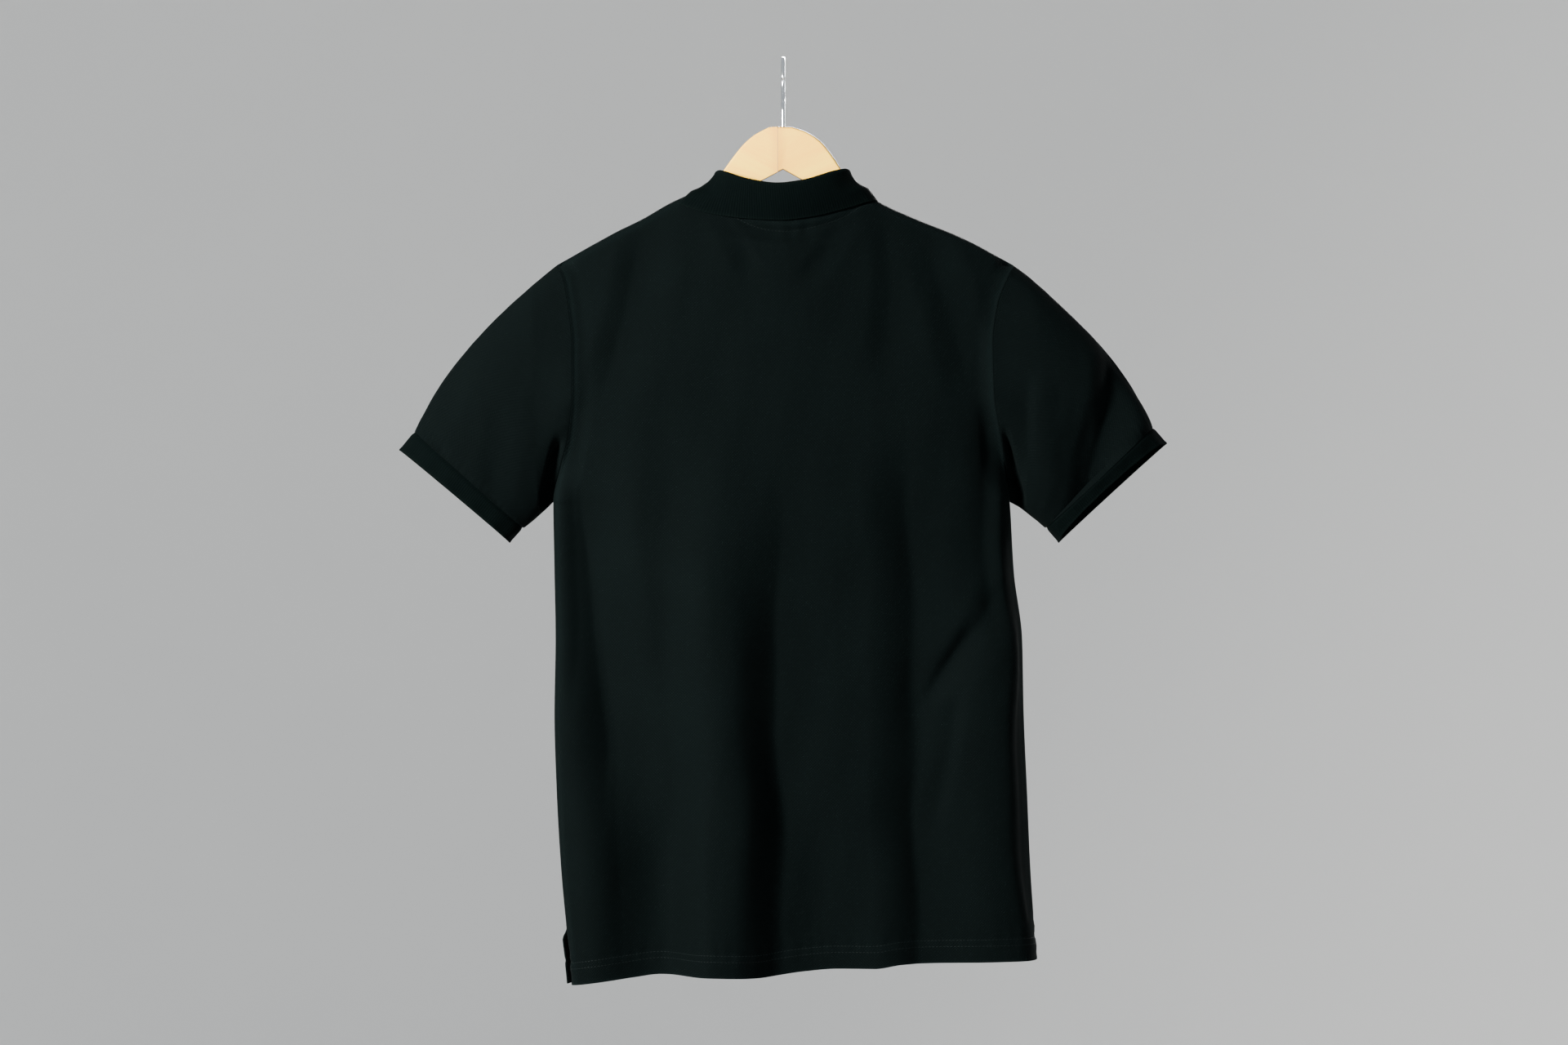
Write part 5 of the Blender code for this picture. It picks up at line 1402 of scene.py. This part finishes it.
bpy.ops.object.shade_smooth_by_angle(angle=HOOK_SMOOTH_BELOW)
hook_top = max(vert.co.z for vert in hook.data.vertices)
print("hook:", len(hook.data.polygons), "faces, from", round(1000 * hook_top, 1), "mm")

# %% [markdown]
# ## Stitches
# Thread is what shows that a garment was sewn. A machine stitch on the face of the cloth is a short,
# slightly sunk grain of polyester thread, so we model one grain and lay copies of it along each seam.
# Real thread is 0.35 mm thick; ours is drawn at 0.6 mm, so that it still shows from a few metres. Each
# seam's stitches become one mesh.

# %% Model one stitch
STITCH_LENGTH, STITCH_WIDTH, STITCH_STEP, STITCH_FLATNESS = 0.0027, 0.0006, 0.0033, 0.8
bpy.ops.object.select_all(action="DESELECT")
bpy.ops.mesh.primitive_uv_sphere_add(segments=6, ring_count=4, radius=0.5, rotation=(0, math.pi / 2, 0))
stitch = added("stitch")
bpy.ops.object.transform_apply(location=True, rotation=True, scale=True)
bpy.ops.object.mode_set(mode="EDIT")
bpy.ops.mesh.select_all(action="SELECT")
grain_size = (STITCH_LENGTH, STITCH_WIDTH, STITCH_FLATNESS * STITCH_WIDTH)
bpy.ops.transform.resize(value=grain_size, center_override=(0, 0, 0))
bpy.ops.object.mode_set(mode="OBJECT")
stitch_points = np.array([vert.co for vert in stitch.data.vertices])
stitch_faces = [list(face.vertices) for face in stitch.data.polygons]
bpy.data.objects.remove(stitch)
print("one stitch:", len(stitch_faces), "faces")

# %% [markdown]
# A row of stitches is a path on the cloth. We walk along it by the machine's stitch length, note where
# each stitch lies and which way it runs and faces, and turn each a little its own way, as thread settles.

# %% Lay stitches along a path
Run = namedtuple("Run", "middle along up")
HALF_STEP, STITCH_TURN = 0.0004, 0.06


def stitch_run(path, up, step=STITCH_STEP, across=False):
    """Places of the stitches on a path: their middles, the way they run and the way they face."""
    gone = run_along(path)
    count = max(int(round(gone[-1] / step)), 1)
    at = (np.arange(count) + 0.5) * gone[-1] / count

    def on_path(values, place):
        return np.stack([np.interp(place, gone, values[:, axis]) for axis in range(3)], axis=-1)

    along = unit(on_path(path, at + HALF_STEP) - on_path(path, at - HALF_STEP))
    facing = unit(on_path(up, at))
    if across:
        along = unit(np.cross(facing, along))
    return Run(on_path(path, at), along, facing)


def make_stitches(name, runs, size=(1.0, 1.0, 1.0), seed=5):
    """One mesh of all the stitches on those runs, each turned a little its own way."""
    draw = np.random.default_rng(seed)
    middle, along, up = (np.concatenate([getattr(run, field) for run in runs]) for field in Run._fields)
    across = unit(np.cross(up, along))
    turn = draw.normal(0, STITCH_TURN, len(middle))[:, None]
    along, across = along * np.cos(turn) + across * np.sin(turn), across * np.cos(turn) - along * np.sin(turn)
    grain = stitch_points * np.array(size)
    points = middle[:, None] + along[:, None] * grain[None, :, :1] + across[:, None] * grain[None, :, 1:2]
    points = points + unit(np.cross(along, across))[:, None] * grain[None, :, 2:]
    starts = range(0, len(middle) * len(grain), len(grain))
    faces = [[corner + start for corner in face] for start in starts for face in stitch_faces]
    mesh = bpy.data.meshes.new(name)
    mesh.from_pydata(points.reshape(-1, 3).tolist(), [], faces)
    mesh.shade_smooth()
    piece = bpy.data.objects.new(name, mesh)
    bpy.context.scene.collection.objects.link(piece)
    print(name, "has", len(middle), "stitches")
    return piece


def row_above_hem(grid, outward, height, side_gap):
    """A path across a panel at one height above its hem."""
    up_rows = grid[::-1].transpose(1, 0, 2)
    at = place_at(up_rows, height)
    path, facing = read_at(up_rows, at), read_at(outward[::-1].transpose(1, 0, 2), at)
    gone = run_along(path)
    kept = (gone > side_gap) & (gone < gone[-1] - side_gap)
    return path[kept], facing[kept]


print("stitches are", round(1000 * STITCH_STEP, 1), "mm apart")

# %% [markdown]
# The hem is held by two parallel rows, the vents by a row along each turned edge and a bar tack at the
# top. A row below the collar holds the tape inside the neck, the upper placket strip is stitched round
# its edges, and each buttonhole is whipped all round.

# %% Sew the seams
HEM_STITCHES, HEM_GAP, VENT_STITCH = (0.0150, 0.0207), 0.004, 0.0065
TACK_ENDS, TACK_LIFT, DENSE_STEP = (0.0005, 0.0080), 0.001, 0.0007
TAPE_POINTS, SUNK, FACING_STEP = 90, 0.00008, 0.001


def vent_row(grid, outward, edge):
    """A path up beside a vent's edge, from the hem rows to the top of the vent."""
    rows = [row for row in range(UPPER_ROWS, len(grid)) if grid[row, edge, 2] < hem_z(0.0) + VENT_HEIGHT]
    lines, facing = grid[rows], outward[rows]
    if edge != 0:
        lines, facing = lines[:, ::-1], facing[:, ::-1]
    at = place_at(lines, VENT_STITCH)
    return read_at(lines, at), read_at(facing, at)


def bar_tack(grid, outward, edge):
    """A short dense bar across the top of a vent."""
    row = int(np.argmin(np.abs(grid[:, edge, 2] - (hem_z(0.0) + VENT_HEIGHT + TACK_LIFT))))
    line, facing = grid[row], outward[row]
    if edge != 0:
        line, facing = line[::-1], facing[::-1]
    at = [float(place_at(line[None], distance)[0]) for distance in TACK_ENDS]
    ends = np.array([read_at(line[None], np.array([place]))[0] for place in at])
    return ends, np.array([facing[int(place)] for place in at])


panels = {BACK: (back, back_out), FRONT: (front, front_out)}
seams = {}
for side, name in ((BACK, "back"), (FRONT, "front")):
    grid, outward = panels[side]
    rows = [row_above_hem(grid, outward, height, HEM_GAP) for height in HEM_STITCHES]
    rows += [vent_row(grid, outward, edge) for edge in (0, -1)]
    runs = [stitch_run(path - SUNK * up, up) for path, up in rows]
    for edge in (0, -1):
        path, up = bar_tack(grid, outward, edge)
        runs.append(stitch_run(path, up, step=DENSE_STEP, across=True))
    seams[name] = make_stitches(f"{name}_hem_stitches", runs, seed=5 + side)
tape_x = np.linspace(TAPE_ROW[0].x, TAPE_ROW[-1].x, TAPE_POINTS)
tape_path, tape_face, tape_above = (
    on_cloth(BACK, tape_x, tape_z(tape_x), lift) for lift in (-SUNK, 0.0, FACING_STEP)
)
tape_up = unit(tape_above - tape_face)
seams["tape"] = make_stitches("neck_tape_stitches", [stitch_run(tape_path, tape_up)], seed=8)
print("rows sewn:", list(seams))

# %% [markdown]
# The upper strip has one row all round its edge and one across, which makes the box at its foot. A
# buttonhole is whipped with short stitches laid side by side, so they run across their path. The thread
# in a button crosses between its four holes.

# %% Sew the placket and the buttons
STRIP_TOP, BOX_HEIGHT, PATH_POINTS = 0.004, 0.030, 40
BUTTONHOLE_WIDTH, BUTTONHOLE_HEIGHT, OVAL_POINTS = 0.0011, 0.0085, 25
THREAD_HEIGHT, THREAD_SHIFT, THREAD_STEP = 0.0021, 0.0003, 0.004
HOLE_STITCH, THREAD_STITCH = (0.75, 0.8, 0.9), (1.35, 0.9, 1.0)


def strip_path(grid, outward, places):
    """A path over a strip through places given as metres (across, down) of it."""
    across, down = over_uv[0, :, 0], -over_uv[:, 0, 1]
    path, up = [], []
    for (x0, y0), (x1, y1) in zip(places, places[1:]):
        for share in np.linspace(0, 1, PATH_POINTS):
            column_at = np.interp(lerp(x0, x1, share), across, np.arange(len(across)))
            row_at = np.interp(lerp(y0, y1, share), down, np.arange(len(down)))
            row = min(int(row_at), len(down) - 2)
            line = lerp(grid[row], grid[row + 1], row_at - row)
            path.append(read_at(line[None], np.array([column_at]))[0])
            up.append(outward[row, min(int(column_at), len(across) - 1)])
    return np.array(path), np.array(up)


far, near, end = strip_width - EDGE_STITCH, EDGE_STITCH, strip_length - EDGE_STITCH
box_top = strip_length - BOX_HEIGHT
outline_places = [(near, STRIP_TOP), (near, end), (far, end), (far, STRIP_TOP)]
box_places = [(near, box_top), (far, box_top)]
runs = [stitch_run(*strip_path(over, over_out, places)) for places in (outline_places, box_places)]
seams["placket"] = make_stitches("placket_stitches", runs, seed=9)
hole_runs, cross_runs = [], []
for frame_now in button_frames:
    down_here = float(np.interp(-frame_now[2, 3], -over[:, len(over[0]) // 2, 2], -over_uv[:, 0, 1]))
    middle = strip_width / 2
    oval = [
        (middle + BUTTONHOLE_WIDTH * math.cos(turn), down_here + BUTTONHOLE_HEIGHT * math.sin(turn))
        for turn in np.linspace(0, 2 * math.pi, OVAL_POINTS)
    ]
    hole_runs.append(stitch_run(*strip_path(over, over_out, oval), step=DENSE_STEP, across=True))
    turn_part, place_part = frame_now[:3, :3], frame_now[:3, 3]
    for slant in (-1, 1):
        ends = np.array([(way * HOLE_PLACE, way * slant * HOLE_PLACE, THREAD_HEIGHT) for way in (-1, 1)])
        for shift in (-THREAD_SHIFT, THREAD_SHIFT):
            path = (ends + np.array([0, shift, 0])) @ turn_part.T + place_part
            cross_runs.append(stitch_run(path, np.array([turn_part[:, 2]] * 2), step=THREAD_STEP))
seams["buttonholes"] = make_stitches("buttonhole_stitches", hole_runs, size=HOLE_STITCH, seed=10)
seams["button_threads"] = make_stitches("button_threads", cross_runs, size=THREAD_STITCH, seed=11)

# %% [markdown]
# ## Materials
# A finish is a small network of nodes. One helper adds a node, sets its options and joins or fills its
# inputs. Colours are given as hex codes, as a dyer's or paint maker's chart gives them, and turned to
# the linear values that light works with. Values that are the same all over are set on the shader.

# %% Helpers for materials
def linear(code):
    """A hex colour as the linear values a shader reads."""
    channels = [int(code[i : i + 2], 16) / 255 for i in (1, 3, 5)]
    return (*[c / 12.92 if c <= 0.04045 else ((c + 0.055) / 1.055) ** 2.4 for c in channels], 1.0)


def add_node(tree, kind, settings=None, inputs=None):
    """One node, with its options set and its inputs filled or joined."""
    node = tree.nodes.new(kind)
    for name, value in (settings or {}).items():
        setattr(node, name, value)
    for name, value in (inputs or {}).items():
        if isinstance(value, bpy.types.NodeSocket):
            tree.links.new(value, node.inputs[name])
        else:
            node.inputs[name].default_value = value
    return node


def new_finish(name, surface):
    """A material with its shader's even values set; returns it with its tree and its shader."""
    finish = bpy.data.materials.new(name)
    finish.use_nodes = True
    shader = finish.node_tree.nodes["Principled BSDF"]
    for socket, value in surface.items():
        shader.inputs[socket].default_value = value
    return finish, finish.node_tree, shader


def reckon(tree, operation, *values):
    """One arithmetic node on sockets or plain numbers."""
    node = add_node(tree, "ShaderNodeMath", {"operation": operation}, dict(enumerate(values)))
    return node.outputs[0]


def mixed(tree, one, share_of_one, other, share_of_other):
    """The sum of two values, each by its share."""
    part = reckon(tree, "MULTIPLY", one, share_of_one)
    return reckon(tree, "ADD", part, reckon(tree, "MULTIPLY", other, share_of_other))


def blend(tree, share, low, high):
    """A colour between two others."""
    inputs = {0: share, 6: low, 7: high}
    return add_node(tree, "ShaderNodeMix", {"data_type": "RGBA"}, inputs).outputs[2]


def ranged(tree, value, source=(0.0, 1.0), to=(0.0, 1.0), kind="LINEAR"):
    """A value carried from one range to another, straight or eased at both ends."""
    inputs = {"Value": value, 1: source[0], 2: source[1], 3: to[0], 4: to[1]}
    return add_node(tree, "ShaderNodeMapRange", {"interpolation_type": kind}, inputs).outputs[0]


def noise(tree, places, scale, **more):
    """Soft random values, so many to the metre of those places."""
    inputs = {"Vector": places, "Scale": scale, **more}
    return add_node(tree, "ShaderNodeTexNoise", inputs=inputs).outputs[0]


def on_object(tree):
    """Metres in the room, fixed to the object."""
    return add_node(tree, "ShaderNodeTexCoord").outputs["Object"]


def mapped(tree, places, **settings):
    """Places turned or stretched before a pattern reads them."""
    return add_node(tree, "ShaderNodeMapping", inputs={"Vector": places, **settings}).outputs[0]


def dress(tree, shader, share, colours, roughness):
    """A colour and a roughness that both follow one value."""
    tree.links.new(blend(tree, share, *(linear(code) for code in colours)), shader.inputs["Base Color"])
    tree.links.new(ranged(tree, share, to=roughness), shader.inputs["Roughness"])


print("white is", linear("#FFFFFF"))

# %% [markdown]
# Piqué is knitted so that small raised cells stand in staggered rows, with pits between them. The cells
# are really 1.3 mm apart; they are drawn 2.6 mm apart, so that the knit still shows from across a room.
# The yarn is dyed nearly black with a trace of green, it is matt, and its fine hairs catch the light at
# a low angle, which the sheen gives. Its pits, and the furrows of the rib, are painted darker than the
# raised yarn, as painted shade. Edges and seams are paler, where washing has rubbed them.

# %% Cotton piqué and flat-knitted rib
CELL_PITCH, RIB_PITCH, COURSE_PITCH = 0.0026, 0.0022, 0.0011
CLOUD_SCALE, YARN_SCALE = 14.0, 900.0
HEIGHT_SHARE, YARN_SHARE, CLOUD_FADE, WORN_FADE = 0.55, 0.45, 0.22, 0.45
COTTON = {
    "Specular IOR Level": 0.02,
    "Sheen Weight": 0.004,
    "Sheen Roughness": 0.45,
    "Sheen Tint": linear("#B8CCC8"),
}


def knit_places(tree):
    """Metres across and down the cloth."""
    places = add_node(tree, "ShaderNodeUVMap")
    split = add_node(tree, "ShaderNodeSeparateXYZ", inputs={0: places.outputs[0]})
    return places.outputs[0], split.outputs[0], split.outputs[1]


def waves(tree, along, pitch):
    """A cosine along one way of the cloth, once every pitch."""
    return reckon(tree, "COSINE", reckon(tree, "MULTIPLY", along, 2 * math.pi / pitch))


def dye_and_shade_cloth(tree, shader, places, height, colours, bump):
    """Colours a knit with painted shade in its low places, with its unevenness and its wear, and gives it its
    relief.
    """
    # The first colour is painted shade for the knit's low places; the second is the yarn's own dye, the third
    # its washed pale.
    pit_shade, body, pale = (linear(code) for code in colours)
    cloud = noise(tree, places, CLOUD_SCALE, Detail=3.0)
    yarn = noise(tree, places, YARN_SCALE, Detail=2.0)
    paled = add_node(tree, "ShaderNodeAttribute", {"attribute_name": "worn"}).outputs["Fac"]
    # Low places of the knit blend towards the painted shade colour; the yarn noise adds the yarn's own uneven
    # tone.
    shown = mixed(tree, height, HEIGHT_SHARE, yarn, YARN_SHARE)
    faded = mixed(tree, cloud, CLOUD_FADE, paled, WORN_FADE)
    dyed = blend(tree, faded, blend(tree, shown, pit_shade, body), pale)
    tree.links.new(dyed, shader.inputs["Base Color"])
    relief = reckon(tree, "ADD", height, reckon(tree, "MULTIPLY", yarn, 0.5))
    raised = add_node(tree, "ShaderNodeBump", inputs={"Height": relief, "Distance": bump, "Strength": 0.7})
    tree.links.new(raised.outputs[0], shader.inputs["Normal"])
    tree.links.new(ranged(tree, shown, to=(0.94, 0.80)), shader.inputs["Roughness"])


pique, tree, shader = new_finish("cotton_pique_dyed_black_green", COTTON)
places, across, down = knit_places(tree)
cells = reckon(tree, "MULTIPLY", waves(tree, across, CELL_PITCH), waves(tree, down, CELL_PITCH))
cells = ranged(tree, cells, source=(-0.45, 0.40), kind="SMOOTHSTEP")
# Painted shade in the pits, the dyed yarn, and the pale of washing.
dye_and_shade_cloth(tree, shader, places, cells, ("#010303", "#030606", "#070E0E"), 0.00022)

rib, tree, shader = new_finish("cotton_rib_flat_knitted", COTTON)
places, across, down = knit_places(tree)
ribs = reckon(tree, "MULTIPLY_ADD", waves(tree, across, RIB_PITCH), 0.5, 0.5)
courses = reckon(tree, "MULTIPLY_ADD", waves(tree, down, COURSE_PITCH), 0.12, 0.12)
ribbed = reckon(tree, "ADD", reckon(tree, "MULTIPLY", ribs, 0.8), courses)
# Painted shade in the furrows between the ribs, the dyed yarn, and the pale of washing.
dye_and_shade_cloth(tree, shader, places, ribbed, ("#000202", "#010404", "#040908"), 0.00030)
print("knits:", pique.name, "and", rib.name)

# %% [markdown]
# Thread is smoother than knit, so each stitch has a small soft highlight. The buttons are tumbled resin,
# with a faint cloud in it, and the tumbling leaves them satin, not glassy.

# %% Thread and resin
thread, tree, shader = new_finish("polyester_thread_spun", {"Specular IOR Level": 0.06, "Sheen Weight": 0.01})
dress(tree, shader, noise(tree, on_object(tree), 1600.0), ("#050909", "#0B1212"), (0.45, 0.65))

TUMBLED = {"Coat Weight": 0.15, "Coat Roughness": 0.3}
resin, tree, shader = new_finish("polyester_resin_turned_tumbled", TUMBLED)
swirl = noise(tree, on_object(tree), 260.0, Detail=3.0, Distortion=1.2)
dress(tree, shader, swirl, ("#0B100F", "#27302E"), (0.42, 0.54))
print("sewn on with", thread.name, "and made of", resin.name)

# %% [markdown]
# The hanger is pale maple under satin lacquer, so its grain is long and fine and its highlight soft. The
# grain of each board runs along its arm. The rounded edges and the narrow sides of the boards are a
# darker brown, and glue and dust darken the joint a little. The wire is bright chrome, with fine marks from
# the rail.

# %% Maple, chrome and plaster
MAPLE_TURN = math.radians(24)
BROWNED_FROM, BROWNED_TO, BROWNED_SHARE = 0.00595, 0.0048, 0.9
JOINT_REACH, JOINT_SHARE = 0.010, 0.5
LACQUERED = {"Coat Weight": 0.25, "Coat Roughness": 0.25, "Specular IOR Level": 0.4}


def lacquered_maple(name, slope):
    """Maple whose grain runs along an arm that falls by this angle."""
    finish, tree, shader = new_finish(name, LACQUERED)
    places = on_object(tree)
    turned = mapped(tree, places, Rotation=(0, slope, 0))
    figure = noise(tree, mapped(tree, turned, Scale=(9.0, 60.0, 60.0)), 1.6, Detail=5.0, Distortion=0.6)
    pores = noise(tree, mapped(tree, turned, Scale=(25.0, 700.0, 700.0)), 1.0, Detail=2.0)
    grain = mixed(tree, figure, 0.75, pores, 0.25)
    wood = blend(tree, ranged(tree, grain, source=(0.33, 0.68)), linear("#FFCE3A"), linear("#FAB832"))
    split = add_node(tree, "ShaderNodeSeparateXYZ", inputs={0: places})
    # Darker brown towards the rounded edges and the narrow sides, away from the flat faces of the boards.
    depth = reckon(tree, "ABSOLUTE", split.outputs[1])
    browned = ranged(tree, depth, source=(BROWNED_FROM, BROWNED_TO), kind="SMOOTHSTEP")
    wood = blend(tree, reckon(tree, "MULTIPLY", browned, BROWNED_SHARE), wood, linear("#5E2F0C"))
    from_joint = reckon(tree, "ABSOLUTE", reckon(tree, "SUBTRACT", split.outputs[0], WOOD_JOINT_X))
    shade = ranged(tree, from_joint, source=(JOINT_REACH, 0.0), kind="SMOOTHSTEP")
    wood = blend(tree, reckon(tree, "MULTIPLY", shade, JOINT_SHARE), wood, linear("#E39C3C"))
    tree.links.new(wood, shader.inputs["Base Color"])
    tree.links.new(ranged(tree, grain, to=(0.36, 0.5)), shader.inputs["Roughness"])
    raised = add_node(tree, "ShaderNodeBump", inputs={"Height": pores, "Distance": 0.00006, "Strength": 0.4})
    tree.links.new(raised.outputs[0], shader.inputs["Normal"])
    return finish


maple = {
    side: lacquered_maple(f"maple_lacquered_satin_{name}", side * MAPLE_TURN)
    for side, name in ((LEFT, "left"), (RIGHT, "right"))
}

chrome, tree, shader = new_finish("steel_wire_chromed", {"Base Color": linear("#C9CDD0"), "Metallic": 1.0})
scuffs = noise(tree, mapped(tree, on_object(tree), Scale=(400.0, 400.0, 60.0)), 2.0, Detail=4.0)
tree.links.new(ranged(tree, scuffs, to=(0.08, 0.24)), shader.inputs["Roughness"])

plaster, tree, shader = new_finish("plaster_painted_pale", {"Roughness": 0.9})
rolled = noise(tree, on_object(tree), 3.0, Detail=3.0)
tree.links.new(blend(tree, rolled, linear("#EDEDEC"), linear("#F1F1EF")), shader.inputs["Base Color"])
print("finishes:", len(bpy.data.materials), "with those of the solids")

# %% [markdown]
# ## Putting it together
# Every piece takes its finish, hides the solid it stands for, and rides on the one body, since nothing
# on a hanging shirt moves on a joint. The sheets of cloth also give the size they were cut to.

# %% Finishes and places
PIECES = [
    (back_panel, pique, "pique_knit", ["back_panel"]),
    (front_panel, pique, "pique_knit", ["front_panel"]),
    (placket_over, pique, "pique_knit", ["placket_over"]),
    (placket_under, pique, "pique_knit", ["placket_under"]),
    (left_sleeve, pique, "pique_knit", ["left_sleeve"]),
    (right_sleeve, pique, "pique_knit", ["right_sleeve"]),
    (left_cuff, rib, "rib_knit", ["left_cuff"]),
    (right_cuff, rib, "rib_knit", ["right_cuff"]),
    (collar, rib, "rib_knit", ["collar"]),
    (hanger_left, maple[LEFT], "hanger_wood", ["hanger_left"]),
    (hanger_right, maple[RIGHT], "hanger_wood", ["hanger_right"]),
    (hook, chrome, "hook_wire", ["hook"]),
    *[(button, resin, "button", [f"button_{number}"]) for number, button in enumerate(buttons, start=1)],
    *[(piece, thread, "pique_knit", []) for piece in seams.values()],
]
for piece, finish, slot, nodes in PIECES:
    piece.data.materials.clear()
    piece.data.materials.append(finish)
    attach(piece, "root")
    if nodes:
        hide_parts(*nodes)
stage.data.materials.append(plaster)
print("pieces:", len(PIECES))

# %% [markdown]
# A cloth cutter needs each piece's flat size. We give the size of what shows, all the way round on a
# tube, and where a piece isn't a plain rectangle, its area too. Each size is printed with the area the mesh
# measures.

# %% Cut sizes of the cloth
Cut = namedtuple("Cut", "piece size area rests_on with_pieces")
CUTS = [
    Cut(back_panel, (0.53, 0.74), 0.330, [hanger_left, hanger_right], [seams["back"], seams["tape"]]),
    Cut(front_panel, (0.53, 0.74), 0.325, [hanger_left, hanger_right], [seams["front"]]),
    Cut(placket_over, (0.036, 0.170), None, [front_panel], [seams["placket"], seams["buttonholes"]]),
    Cut(placket_under, (0.030, 0.165), None, [front_panel], [*buttons, seams["button_threads"]]),
    Cut(left_sleeve, (0.46, 0.13), 0.049, [back_panel, front_panel], []),
    Cut(right_sleeve, (0.46, 0.13), 0.049, [back_panel, front_panel], []),
    Cut(left_cuff, (0.27, 0.024), None, [left_sleeve], []),
    Cut(right_cuff, (0.27, 0.024), None, [right_sleeve], []),
    Cut(collar, (0.47, 0.075), None, [back_panel, front_panel], []),
]
for cut in CUTS:
    measured = sum(face.area for face in cut.piece.data.polygons) / 2
    print(cut.piece.name, "cut", cut.size, "measures", round(measured, 4), "square metres")

# %% [markdown]
# Last, we print the box of what we made.

# %% Print the size of what we made
low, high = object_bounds()
print("made box in mm:", [round(1000 * (b - a)) for a, b in zip(low, high)])
